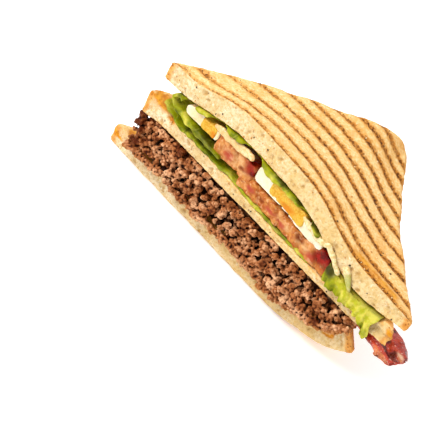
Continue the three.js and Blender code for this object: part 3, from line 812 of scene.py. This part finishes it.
def dressed_slice(sizes, lower, upper):
    """A slice with pores on its cut face, crust on its walls and grill stripes on its grilled face."""
    seed = sizes.seed
    outline = half_square(sizes, 150, 80, finer=2)
    rough = layer(outline, (sizes.corner, INSIDE), FINE_RINGS, lower, upper, sizes.rim)
    points, faces, normals = remeshed(*rough, VOXELS.toast)
    x, y, z = points.T
    depth = crust_depth(sizes, x, y)
    cut = ease(0.5, 0.85, -normals[:, 1]) * ease(2.0, 1.0, y)
    wall = ease(0.45, 0.85, np.hypot(normals[:, 0], normals[:, 1])) * (1 - cut)
    wavy = shaken(points, 6, 0.7, seed + 30)
    strength = mix(0.72, 0.98, ease(-35, 20, x)) + 0.12 * noise(points, 9, seed + 31)
    stripe = grill_lines(wavy[:, 0], wavy[:, 1]) * ease(0.2, 0.6, normals[:, 2] * sizes.grilled) * strength
    # The loose relief of crumb and toast
    large_pore, small_pore = pores(points, seed)
    uneven = 0.3 * noise(points, 4.5, seed + 20) + 0.14 * noise(points, 1.0, seed + 21)
    uneven = uneven * mix(0.45, 1, cut) * (1 + 1.3 * ease(7, 2, depth) * ease(55, 65, x))
    if sizes is MIDDLE:
        torn = np.maximum(cut, wall) * ease(63, 68, x) * (noise(points, 2.6, seed + 25) - 0.3)
        uneven = uneven + 1.3 * torn
    sunk = cut * (0.5 * large_pore + 0.3 * small_pore)
    dents = clamp(1 - cut - wall) * (0.15 * small_pore + 0.4 * ease(0.3, 0.9, stripe))
    wrinkles = wall * (0.3 * noise(points, 2.2, seed + 22) - 0.3 * small_pore)
    moved = points + normals * (uneven - sunk - dents + wrinkles - 0.12)[:, None]
    if sizes is TOP:
        share = clamp((z - lower(x, y)) / (upper(x, y) - lower(x, y)))
        moved[:, 2] += TOP.tip_thinner * ease(67, 79, x) * (1 - share)
    moved[:, 1] = np.where(y < 3, np.maximum(moved[:, 1], 0.02), moved[:, 1])
    if sizes is BOTTOM:
        moved[:, 2] = np.maximum(moved[:, 2], 0.0)
        moved[:, 0], moved[:, 2] = curled(moved[:, 0], moved[:, 2])
    # Colours by place: crust round the edge, and the toasted skin of the cut face's long edges
    rind = np.maximum(wall, cut * ease(2.7, 1.3, depth + 0.5 * noise(points, 2.5, seed + 23)))
    under_skin = np.minimum(upper(x, y) - z, z - lower(x, y)) + 0.15 * noise(points, 2.0, seed + 24)
    skin = cut * ease(1.25 * sizes.skin, 0.5 * sizes.skin, under_skin)
    soaked = soaked_crumb(sizes, points, moved, cut)
    piece(sizes.name, moved, faces, "toast", (sizes.node,), {
        "cut": clamp(cut - 0.8 * skin),
        "rind": clamp(rind),
        "stripe": stripe,
        "pore": np.maximum(large_pore, 0.5 * small_pore) * cut,
        "edge": np.exp(-np.maximum(0, depth) / 4.0),
        "stain": soaked * (1 - cut) if sizes is TOP else soaked,
        "warm": ease(-50, 0, x) * clamp(0.8 + 0.4 * noise(points, 9, seed + 54)),
    })


def flat_floor(x, y):
    return np.zeros(np.shape(x))


dressed_slice(BOTTOM, flat_floor, bottom_thick)
dressed_slice(MIDDLE, middle_under, middle_face)
dressed_slice(TOP, top_under, top_face)


# Ground beef: a core, and crumbles made of small round lumps grown together
BALL = ball(2)
draw = np.random.default_rng(20831)


def bunch(middle, size):
    """One crumble: a round lump with smaller ones grown on it."""
    count = int(draw.integers(8, 13))
    way = unit(draw.normal(size=(count, 3)))
    stretch = draw.permutation([1.2, 1.0, 0.85])
    centres = way * draw.uniform(0.95, 1.4, (count, 1)) * stretch * size
    radii = draw.uniform(0.45, 0.85, (count, 1)) * size
    lumps = [(BALL[0] * radius + centre + middle, BALL[1]) for centre, radius in zip(centres, radii)]
    return [(BALL[0] * 1.3 * size * stretch + middle, BALL[1]), *lumps]


def scattered(count, spread, sample, first=()):
    """Seeded places, at least about the spread apart, from sample(draws) giving rows of x, y, z."""
    kept = np.array(first).reshape(-1, 3)
    for place in sample(draw.random((count, 3))):
        if len(kept) == 0 or np.min(np.linalg.norm(kept - place, axis=1)) > spread * draw.uniform(0.8, 1.2):
            kept = np.vstack([kept, place])
    return kept


def heap_foot():
    """A row of crumbles close together along the heap's lower edge."""
    x = np.arange(BEEF.left + 2.5, BEEF.right - 2.5, 2.3)
    return np.c_[x, draw.uniform(-2.9, -2.3, len(x)), hem(x) + draw.uniform(1.9, 2.8, len(x))]


def heap_reach(x, z):
    """How far the heap's front stands before the cut at a height."""
    low = hem(x) + 3.3
    high = middle_under(x, 0.0) - 1.1
    return mix(*BEEF.front, clamp((z - low) / np.maximum(1.0, high - low)))


def heap_front(rows):
    x = mix(BEEF.left + 2.0, BEEF.right - 1.0, rows[:, 0])
    z = mix(hem(x) + 1.8, middle_under(x, 0.0) - 1.1, rows[:, 2])
    uneven = noise(np.c_[x, 0 * x, z], 8.0, 505) * ease(2.0, 6.0, z - hem(x))
    y = 2.2 * (rows[:, 1] - 0.5) + 1.2 * uneven - heap_reach(x, z)
    return np.c_[x, np.where(z < bottom_face(x, 0 * x) + 0.8, np.minimum(y, -2.2), y), z]


def heap_behind(rows):
    x = mix(BEEF.left + 1.5, BEEF.right - 3, rows[:, 0])
    low = bottom_face(x, 0 * x) + 1.2
    high = middle_under(x, 0.0) - 1.2
    return np.c_[x, mix(0.4, 2.2, rows[:, 1]), mix(low, high, rows[:, 2])]


def beef_outline():
    outline = half_square(BEEF, 16, 8)
    along = outline[:, 0] - BEEF.corner
    deep = outline[:, 1] - (INSIDE - 2)
    inwards = outline[:, 2] * BEEF.inset / np.hypot(along, deep)
    x = outline[:, 0] - inwards * along
    y = np.maximum(0, outline[:, 1] - inwards * deep)
    return np.c_[x, y, outline[:, 2]]


def heap_side(rows):
    outline = beef_outline()
    side = outline[(outline[:, 2] == 1) & (outline[:, 1] > 0.5)]
    length = np.concatenate([[0], np.cumsum(np.hypot(*np.diff(side[:, :2], axis=0).T))])
    reach = rows[:, 0] * length[-1]
    x = np.interp(reach, length, side[:, 0])
    y = np.interp(reach, length, side[:, 1])
    away = unit(np.c_[x - BEEF.corner, y - INSIDE])
    x, y = (np.c_[x, y] + away * (1.2 * rows[:, 1:2] - 0.3)).T
    return np.c_[x, y, mix(bottom_face(x, y) + 1.1, middle_under(x, y) - 1.1, rows[:, 2])]


def beef_lower(x, y):
    floor = bottom_face(x, y) + 0.1 + 0.9 * ease(16, 28, x)
    return np.minimum(floor, middle_under(x, y) - 1.0)


def beef_upper(x, y):
    return middle_under(x, y) - 0.1


def pressed(points):
    """Crumbles are squashed between the slices, and those below the bread's edge hang before it."""
    x, y, z = points.T
    roof = middle_under(x, y) - 0.15
    floor = bottom_face(x, np.maximum(0, y)) + 0.15
    inside = (z < floor) & (y > -0.35)
    forward = inside & (y + 0.35 < floor - z) & (y < 2.0)
    y = np.where(forward, -0.35, y)
    z = np.where(inside & ~forward, floor, z)
    z = np.maximum(np.minimum(z, roof), np.minimum(0.5, roof - 0.3))
    return np.c_[x, np.maximum(y, -6.9), z]


def hollows(points, faces, rounds):
    """How deep each point lies below the smoothed surface round it, in millimetres."""
    return np.sum((smoothed(points, faces, rounds) - points) * directions(points, faces), axis=1)


def crumbled(name, net, voxel, lump, high, seed, replaces=()):
    """A piece of fried meat from a rough net: grown with lumps of one size, with painted shade in its gaps
    and creases and a painted highlight on its lumps' tops.
    """
    points, faces, normals = remeshed(*net, voxel)
    grown, _ = cells(points, lump, seed)
    relief = high * (0.5 - grown) + 0.16 * noise(points, 0.9, seed + 5)
    points = pressed(points + normals * relief[:, None])
    creases = hollows(points, faces, 3)
    gaps = hollows(points, faces, 16)
    x, y, z = points.T
    # Painted shade: darker where the heap is set back behind its front; with the gaps it makes the deep field
    back = 0.9 * ease(0.6, 3.2, y + heap_reach(x, z)) * (x < BEEF.right - 4) * (y < 5)
    back = back * ease(5.5, 9, crust_depth(BEEF, x, y))
    # Random tone, a painted highlight on the lumps' tops away from their creases, and a darker burnt left end
    tone_and_highlight = 0.42 + 0.55 * noise(points, 4.0, seed + 40) - 1.9 * creases - 0.35 * ease(-61, -66, x)
    piece(name, points, faces, "cooked_beef", replaces, {
        "tone_and_highlight": clamp(tone_and_highlight),
        "crease_shade": ease(0.0, 0.13, creases),
        "deep": np.maximum(ease(0.03, 0.38, gaps), back),
        "oily": ease(3.0, 0.0, z - hem(x)) * (y < 0),
    })


def crumbles(name, places, smallest, largest, voxel, seed):
    lumps = [lump for place in places for lump in bunch(place, draw.uniform(smallest, largest))]
    crumbled(name, joined(lumps), voxel, 1.5, 0.85, seed)


def build_beef():
    middle = (BEEF.corner, INSIDE - 2)
    core = layer(beef_outline(), middle, [0.8, 0.4], beef_lower, beef_upper, 0.6, (-2.2, -2.2))
    crumbled("beef_core", core, VOXELS.core, 3.0, 1.5, 700, ("ground_beef",))
    front = np.vstack([scattered(3000, 3.05, heap_front, heap_foot()), scattered(1500, 3.2, heap_behind)])
    crumbles("beef_crumbles", front, 0.75, 1.45, VOXELS.crumbles, 500)
    crumbles("beef_side_crumbles", scattered(3200, 2.6, heap_side), 1.0, 1.5, VOXELS.side_crumbles, 600)


build_beef()


# Lettuce
def side_reach(x):
    left = (x - MIDDLE.left) * SLICE_DEPTH / (MIDDLE.corner - MIDDLE.left)
    right = (MIDDLE.right - x) * SLICE_DEPTH / (MIDDLE.right - MIDDLE.corner)
    return np.maximum(3, np.minimum(left, right) - 2.5)


def ripple(x, y):
    return np.sin(0.42 * x + 0.3 * y) * np.cos(0.37 * y - 0.13 * x)


def lower_leaf(u, v):
    """The large leaf on the middle slice: its edge hangs a little over the cut."""
    x = mix(-61.5, 31, u)
    hang = 1 - clamp(v / 0.06)
    y = mix(0.2, np.minimum(side_reach(x) + 2.5, 66), clamp((v - 0.06) / 0.94))
    seen = np.maximum(ease(-18, -26, x), 0.6 * np.maximum.reduce([bell(x, at, 3) for at in (-3, 12, 25)]))
    y = y + (1.3 * (1 - seen) - 0.7 * seen) * hang + 0.2 * np.sin(0.9 * x) * ease(0.3, 0, v)
    lift = 2.4 * ease(-50, -62, x) * (1 - ease(0, 18, y))
    drop = (0.5 + 0.3 * np.sin(0.5 * x) + 0.3 * np.sin(1.3 * x + 1)) * hang
    z = middle_face(x, np.maximum(0, y)) + 0.75 + lift + 0.25 * ripple(x, y) - drop
    return np.stack([x, y, z], -1)


def curve_point(places, t):
    """A smooth curve through the places, at t from 0 to 1."""
    places = np.array(places, float)
    count = len(places) - 1
    scaled = clamp(t) * count
    i = np.minimum(scaled.astype(int), count - 1)
    f = (scaled - i)[..., None]
    padded = np.vstack([2 * places[0] - places[1], places, 2 * places[-1] - places[-2]])
    a, b, c, d = (padded[i + k] for k in range(4))
    return 0.5 * (2 * b + (c - a) * f + (2 * a - 5 * b + 4 * c - d) * f ** 2
                  + (3 * b - a - 3 * c + d) * f ** 3)


# The fold's section, as x and z
FOLD = [(-53.2, 42.7), (-56.3, 42.5), (-58.6, 40.9), (-56.5, 38.7), (-50, 37.3), (-42, 36.3),
        (-33, 35.4), (-25.5, 34.6)]


def fold_leaf(u, v):
    """The leaf folded round on itself at the left: a frill on top, a face that hangs over the cut."""
    p = curve_point(FOLD, u)
    hang = 1 - clamp(v / 0.16)
    y = mix(-0.2, 22, clamp((v - 0.16) / 0.84)) - 0.9 * hang
    x = p[..., 0] + 0.1 * y + 0.3 * np.sin(0.6 * y + 3 * u)
    height = p[..., 1] + 0.1 * np.sin(0.5 * y + 9 * u)
    lower = ease(0.36, 0.5, u)
    drop = lower * (1.3 + 0.4 * np.sin(0.9 * x)) * hang * ease(1.0, 0.75, u)
    frill = (1 - ease(0.2, 0.4, u)) * 0.7 * np.sin(26 * u + 1.1 * y) * ease(0.5, 0, v)
    z = np.maximum(between(x, np.maximum(0, y), height), middle_face(x, np.maximum(0, y)) + OVER_LEAF) + 0.3
    return np.stack([x, y, z - drop + frill], -1)


def curtain_hem(x):
    return mix(31.0, 29.5, ease(38, 44, x)) - 5.2 * bell(x, 66.4, 3.4)


def right_leaf(u, v):
    x = mix(39.3, 68.8, u)
    turn = 0.5
    under = np.minimum(1.3, 0.5 * (top_under(x, 0) - middle_face(x, 0)))
    crest = top_under(x, 0) - under
    y_inside = mix(np.minimum(side_reach(x) + 2, 34), 0, clamp(v / turn))
    tight = 0.5 * (top_under(x, y_inside) - middle_face(x, y_inside))
    inside = np.stack([x, y_inside, top_under(x, y_inside) - np.minimum(under, tight)], -1)
    hang = ease(turn, 1, v)
    folds = 0.7 * np.sin(0.75 * x) + 0.5 * np.sin(1.7 * x + 2 * hang) + 0.25 * np.sin(3.1 * x) * hang
    out = 1.5 * ease(0, 0.35, hang) + folds * hang
    hem = curtain_hem(x) + 0.35 * np.sin(2.3 * x)
    outside = np.stack([x - 1.6 * bell(hang, 0.55, 0.3) * ease(62, 68, x), -out, mix(crest, hem, hang)], -1)
    return np.where((v <= turn)[..., None], inside, outside)


# Where the upper leaf shows, each with its x, half width and how far it hangs down
UPPER_SHOWN = [(-42.5, 4.5, 1.1), (-24, 5.5, 1.6), (-1, 7, 2.2), (11, 6, 1.0), (27, 3, 0.9)]


def upper_leaf(u, v):
    """The leaf under the top slice: it shows in bits, and hangs down there."""
    x = mix(-47, 30, u)
    seen = np.maximum.reduce([bell(x, middle, half) for middle, half, _ in UPPER_SHOWN])
    drop = sum(deep * bell(x, middle, half) for middle, half, deep in UPPER_SHOWN)
    hang = 1 - clamp(v / 0.1)
    outer = mix(3.2, -0.5, clamp(1.8 * seen))
    y = mix(outer, np.minimum(side_reach(x) - 6, 48), clamp((v - 0.1) / 0.9))
    y = y - 0.35 * hang * (1 + np.sin(1.4 * x))
    z = top_under(x, np.maximum(0, y)) - 0.9 + 0.15 * ripple(x, y) - drop * hang * ease(1.0, -0.3, outer)
    return np.stack([x, y, z], -1)


def lettuce(name, node, surface, along_u, along_v, thick, pale, dark):
    points, faces = leaf(surface, along_u, along_v, thick)
    crinkle = 0.16 * noise(points, 2.2, 71) + 0.1 * noise(points, 1.1, 72)
    points = pushed(points, faces, 0.6 * crinkle)
    ragged = shaken(points, 2.5, 0.7, 75)
    veins = ease(0.1, 0.02, np.abs(noise(points, 5.5, 74)))
    fields = {"pale": clamp(pale(ragged)), "dark": clamp(dark(ragged)), "vein": veins}
    piece(name, points, faces, "lettuce", (node,), fields)


def marks(points, share, places, *lines):
    """Spots of one strength with streaks across them, each with its strength, ends and half width."""
    streaks = [part * streak(points, start, end, half) for part, start, end, half in lines]
    return np.maximum.reduce([share * spots(points, places), *streaks])


def under_roof(points, deep):
    """Where a leaf lies in the shade close under the top slice."""
    x, y, z = points.T
    return ease(deep, 0.3 * deep, top_under(x, np.maximum(0, y)) - z)


def broken(points):
    """Large seeded patches from 0 to 1."""
    return ease(-0.5, 0.2, noise(points, 5, 76))


def lower_pale(p):
    ends = 0.5 * ease(-54, -62, p[:, 0]) + 0.85 * ease(-24, -14, p[:, 0]) * broken(p)
    return np.maximum(ends, streak(p, (-52.5, 38), (-43.5, 33), 0.8))


# Painted shade on the right leaf: at its upper left beside the tomato, along the top slice's edge, and close
# under the top slice
def right_shade(p):
    shaded = 0.45 * under_roof(p, 2.4) * ease(46, 52, p[:, 0])
    return np.maximum(0.95 * spots(p, [(40.5, 36, 4.5, 2.6), (47, 38, 4, 1.3)]), shaded)


def right_pale(p):
    return 0.95 * ease(44, 50, p[:, 0] - 2.2 * (33 - p[:, 2])) * (1 - spots(p, [(65, 27, 3, 2)]))


# Painted shade on the upper leaf: close under the top slice, and a shaded spot near x -20
def upper_shade(p):
    return 0.85 * under_roof(p, 1.0) * ease(-3, 1, p[:, 0]) + 0.6 * spots(p, [(-20, 46.8, 3, 0.6)])


lettuce("leaf_lower", "lettuce_lower", lower_leaf, 180, 62, 0.7, lower_pale,
        # painted shade under the fillings and in the fold's groove
        lambda p: marks(p, 0.6, [(-35, 31, 7, 1), (4, 31.5, 5, 1), (11, 30.5, 3, 1)],
                        (0.8, (-54, 37), (-46.5, 32.9), 1.0)))
lettuce("leaf_fold", "lettuce_fold", fold_leaf, 120, 60, 1.0,
        lambda p: marks(p, 0.9, [(-54.5, 41, 4.5, 2.0), (-43.3, 34.4, 1.6, 1.2)],
                        (1.0, (-51.5, 39), (-44, 34), 0.7)),
        # the fold's painted shade: in its groove, the frill's hollow and the shadow above the band under the
        # yolk
        lambda p: marks(p, 0.9, [(-51, 42.7, 2.6, 0.9), (-34, 37, 6, 0.9)],
                        (0.6, (-54, 37.5), (-46.5, 33), 0.9),
                        (0.45, (-42, 36.6), (-22, 34), 1.3)))
lettuce("leaf_right", "lettuce_right", right_leaf, 110, 100, 0.7, right_pale, right_shade)
lettuce("leaf_upper", "lettuce_upper", upper_leaf, 200, 48, 0.7,
        lambda p: marks(p, 0.8, [(-2, 46.5, 7, 1.3), (8, 46, 5, 0.9), (-42, 45.6, 4, 1), (26, 43.5, 3, 1.5)]),
        upper_shade)


# Tomato and egg: the solids' forms, softened and made lumpy, with their own colours by place
def softened(node, front, swell, lumpy, seed, settled=0.0, notches=()):
    """A node's form with soft edges, lumps and notches, settled on its neighbours, cut flat in front."""
    points, faces, _ = remeshed(*solid_of(node), VOXELS.filling)
    points = smoothed(points, faces, 3)
    relief = swell + lumpy * (noise(points, 3.0, seed) + 0.4 * noise(points, 1.4, seed + 1))
    points = pushed(points, faces, relief)
    x, y, z = points.T
    floor = middle_face(x, np.maximum(0, y))
    share = (z - floor) / (top_under(x, np.maximum(0, y)) - floor)
    points[:, 2] -= settled * ease(0.65, 0.3, share)
    sunk = front + 0.35 * (1 + noise(points, 2.2, seed + 2))
    leaning = x + 0.5 * (z - 36) + 0.8 * noise(points, 2.5, seed + 3)
    sunk = sunk + sum(1.3 * bell(leaning, at, 0.7) for at in notches)
    points[:, 1] = np.maximum(points[:, 1], sunk)
    return points, faces


def build_tomato(name, node, swell, notches, places):
    """A tomato slice made of chunks of flesh."""
    points, faces = softened(node, 0.0, swell, 0.5, 81, 1.4, notches)
    away, drawn = cells(shaken(points, 2.5, 0.5, 86), 3.3, 87)
    points = pushed(points, faces, 0.9 * (0.42 - away))
    ragged = shaken(points, 1.8, 0.6, 84)
    fields = {field: spots(ragged, found) for field, found in places.items()}
    fields["chunk"] = drawn * ease(0.6, 0.35, away)
    piece(name, points, faces, "tomato", (node,), fields)


def build_egg(name, node, material, seed, front, rich=()):
    points, faces = softened(node, front, 0.45, 0.15, seed)
    piece(name, points, faces, material, (node,), {"rich": spots(shaken(points, 2.0, 0.8, 96), rich)})


build_tomato("tomato_slice_left", "tomato_left", 0.45, [-17.0], {
    "peach": [(-19, 39.2, 9.5, 3.2)],
    "pink": [(-23.2, 38.8, 3.2, 2.3)],
    "ruby": [(-11.2, 42.2, 3.3, 3.8)],
    "dark": [(-12.2, 44.6, 2.0, 1.0), (-9.5, 40.5, 1.2, 1.6)],
    "brown": [(-14.6, 38.8, 1.8, 1.2)],
})
build_tomato("tomato_slice_right", "tomato_right", 0.7, [-3.5, 8.5, 21, 31], {
    "peach": [(13, 34.2, 5, 1.6), (25, 33.4, 5, 1.9)],
    "pink": [(5.5, 34.0, 3.6, 1.0), (-7, 34.6, 3, 1.0), (12, 33, 3, 0.8), (30.2, 32.4, 2.8, 1.6)],
    "ruby": [(33, 34.5, 2.6, 2.6)],
    "dark": [(36.6, 37.8, 5.8, 6.2)],
    "brown": [(22.4, 35.0, 3.2, 1.9), (-0.5, 34.8, 1.8, 1.1), (-12.5, 36, 2.2, 1.2)],
})
build_egg("egg_white_slice_left", "egg_white_left", "egg_white", 91, 0.35,
          [(-44, 41, 7, 3), (-31, 42.6, 2.6, 4)])
build_egg("egg_white_slice_right", "egg_white_right", "egg_white", 92, 0.5)
build_egg("egg_yolk_slice_left", "egg_yolk_left", "egg_yolk", 93, 0.0, [(-33, 40.5, 3, 1.5)])
build_egg("egg_yolk_slice_right", "egg_yolk_right", "egg_yolk", 94, 0.1, [(11, 41, 4.5, 1.3)])


# Mayonnaise: a lumpy smear under the top slice, and drips of it, as rows of x, z and radius
DRIPS = [
    [(35.4, 43.2, 1.4), (38.0, 41.6, 1.6), (40.6, 39.6, 1.2), (42.8, 38.0, 1.1), (44.0, 37.2, 1.4)],
    [(47.0, 40.8, 1.8), (49.0, 38.6, 1.6), (50.6, 36.6, 1.1), (52.0, 34.6, 0.7)],
]
SMEARS = [
    [(-34, 44.8, 1.2), (-30, 45.1, 2.1), (-24, 45.3, 2.4), (-18, 45.7, 2.4), (-13, 46.2, 1.8)],
    [(20, 43.5, 0.9), (24, 42.6, 1.5), (29, 41.2, 1.7), (34, 41.6, 1.3)],
]


def build_mayonnaise():
    seeded = np.random.default_rng(40)
    rows = []
    for drip in DRIPS:
        places = np.array(drip)
        for t in np.linspace(0, len(drip) - 1, 9 * len(drip)):
            x, z, radius = (np.interp(t, range(len(drip)), places[:, k]) for k in range(3))
            rows.append((x, -0.6, z, radius))
    for smear in SMEARS:
        places = np.array(smear)
        for x in np.arange(places[0, 0], places[-1, 0], 0.9):
            z, radius = (np.interp(x, places[:, 0], places[:, k]) for k in (1, 2))
            rows.append((x, seeded.uniform(0.3, 0.8), z, radius * seeded.uniform(0.8, 1.1)))
    lumps = [(BALL[0] * radius * np.array([1.1, 0.6, 0.95]) + np.array([x, y, z]), BALL[1])
             for x, y, z, radius in rows]
    points, faces, normals = remeshed(*joined(lumps), VOXELS.mayonnaise)
    points = smoothed(points, faces, 4) + normals * (0.25 * noise(points, 1.8, 41))[:, None]
    green = spots(shaken(points, 2, 0.8, 42), [(50.5, 37.5, 3.2, 3.6)])
    warm = ease(0, -10, points[:, 0]) * ease(-0.6, 0.2, noise(points, 3.5, 43))
    piece("mayonnaise", points, faces, "mayonnaise", (), {"green": green, "warm": warm})


build_mayonnaise()


# Bacon, along places with their x, y and z
STRIP = [(44, 18, 23.0), (56, 13.5, 23.5), (66, 10.2, 24.0), (75, 8.2, 23.2), (82.4, 7.4, 22.0)]


def bacon_strip(u, v):
    p = curve_point(STRIP, u)
    across = mix(-BACON.half, BACON.half, v)
    rounded = BACON.rounded * ease(0.8, 1, u) * (across / BACON.half) ** 2
    out = ease(0.55, 0.8, u)
    wave = out * (0.8 * np.sin(0.55 * across + 7 * u) + 0.35 * np.sin(1.3 * across + 16 * u))
    x = p[..., 0] + 0.32 * across - rounded - out * BACON.cupped * across * across
    y = np.maximum(-0.2, p[..., 1] + 0.95 * across)
    roof = middle_under(x, y) - 0.3 - BACON.thick / 2 - 0.15
    z = np.minimum(p[..., 2] + wave, mix(roof, 40, ease(69, 74, x)))
    return np.stack([x, y, z], -1)


def build_bacon():
    points, faces = leaf(bacon_strip, 125, 60, BACON.thick)
    relief = 0.45 * noise(points, 2.6, 61) + 0.25 * noise(points, 1.2, 62)
    out = ease(66, 74, points[:, 0])
    points = pushed(points, faces, relief * out)
    x, y, _ = points.T
    along = noise(points * np.array([0.35, 1, 1]), 2.4, 63)
    piece("bacon_strip", points, faces, "bacon", ("bacon",), {
        "fat": np.maximum(0.7 * ease(0.5, 0.7, along), 0.5 * ease(0.9, 0.1, y - 0.3 * (x - 72))),
        # painted sheen towards the far side, in patches
        "rosy_sheen": 0.6 * ease(9, 13, y) * ease(-0.2, 0.4, noise(points, 3, 64)),
        "pale": np.exp(-(((x - 80.4) / 1.9) ** 2 + ((y - 8.6) / 1.1) ** 2) ** 2),
        # Painted shade where the relief noise is low; that noise sinks the strip at its loose end
        "crease_shade": ease(0.15, 0.5, -noise(points, 2.6, 61)),
    })


build_bacon()


# Small scattered things: bread crumbs and ground pepper
def on_cut(sizes, lower, upper, rows):
    x = mix(sizes.left + 4, sizes.right - 4, rows[:, 0])
    z = mix(lower(x, 0.0) + 0.8, upper(x, 0.0) - 0.8, rows[:, 2])
    return np.c_[x, np.full(len(x), 0.1), z]


def on_top(rows):
    x = mix(-62, 74, rows[:, 0])
    y = rows[:, 1] * (side_reach(x) - 3)
    return np.c_[x, y, top_face(x, y) - 0.1]


def grains(name, places, size, seed):
    seeded = np.random.default_rng(seed)
    small = ball(1)
    parts = []
    for place in places:
        shape = small[0] * seeded.uniform(0.6, 1.3, (len(small[0]), 1)) * seeded.uniform(0.6, 1.2, 3)
        parts.append((shape * size * seeded.uniform(0.5, 1.2) + place, small[1]))
    piece(name, *joined(parts), name)


def build_grains():
    rows = np.random.default_rng(77).random((200, 3))
    pepper = (rows[:12], rows[26:36], rows[44:52])
    crumbs = (rows[60:110], rows[110:140], rows[140:])
    for name, size, seed, shares in (("pepper", 0.42, 78, pepper), ("crumbs", 0.45, 79, crumbs)):
        places = [on_cut(TOP, top_under, top_face, shares[0]),
                  on_cut(MIDDLE, middle_under, middle_face, shares[1]),
                  on_top(shares[2])]
        grains(name, np.vstack(places), size, seed)


build_grains()


# Floor, lights, camera
FLOOR_HALF = 4.0
WORLD_STRENGTH = 0.7
VIEW_DEGREES = 16.0
CAMERA_PLACE = (234.815, -439.427, 359.465)
CAMERA_RIGHT = (0.63187, 0.66954, 0.39045)
CAMERA_UP = (-0.65754, 0.19637, 0.72738)
CAMERA_BACK = (0.41034, -0.71635, 0.56433)


def build_stage():
    half = FLOOR_HALF
    mesh = bpy.data.meshes.new("floor")
    corners = [(-half, -half, 0), (half, -half, 0), (half, half, 0), (-half, half, 0)]
    mesh.from_pydata(corners, [], [(0, 1, 2, 3)])
    p = Paint("floor")
    mesh.materials.append(p.finish("f8f8f8", 0.9, Specular_IOR_Level=0.1, Emission_Color=(1, 1, 1, 1),
                                   Emission_Strength=0.36))
    shown("floor", mesh)


def softbox(name, direction, distance, size, watts, tint=(1.0, 1.0, 1.0)):
    data = bpy.data.lights.new(name, "AREA")
    data.shape = "SQUARE"
    data.size = size
    data.energy = watts
    data.color = tint
    lamp = shown(name, data)
    way = Vector(direction).normalized()
    lamp.location = way * distance
    lamp.rotation_euler = way.to_track_quat("Z", "Y").to_euler()


def build_lights():
    world = bpy.data.worlds.new("studio")
    world.use_nodes = True
    background = world.node_tree.nodes["Background"]
    background.inputs["Color"].default_value = (1.0, 1.0, 1.0, 1.0)
    background.inputs["Strength"].default_value = WORLD_STRENGTH
    bpy.context.scene.world = world
    softbox("key", (-0.49, -0.48, 0.72), 1.0, 0.6, 8.8, (1.0, 0.985, 0.96))
    softbox("fill", (0.68, 0.32, 0.66), 1.1, 0.8, 3.0)
    bpy.context.scene.view_settings.view_transform = "Standard"


def build_camera():
    data = bpy.data.cameras.new("camera")
    data.angle = np.radians(VIEW_DEGREES)
    data.clip_start = 0.05
    camera = shown("camera", data)
    turn = Matrix((CAMERA_RIGHT, CAMERA_UP, CAMERA_BACK)).transposed().to_4x4()
    place = Vector(placed(np.array(CAMERA_PLACE)))
    camera.matrix_world = Matrix.Translation(place) @ turn
    bpy.context.scene.camera = camera


build_stage()
build_lights()
build_camera()
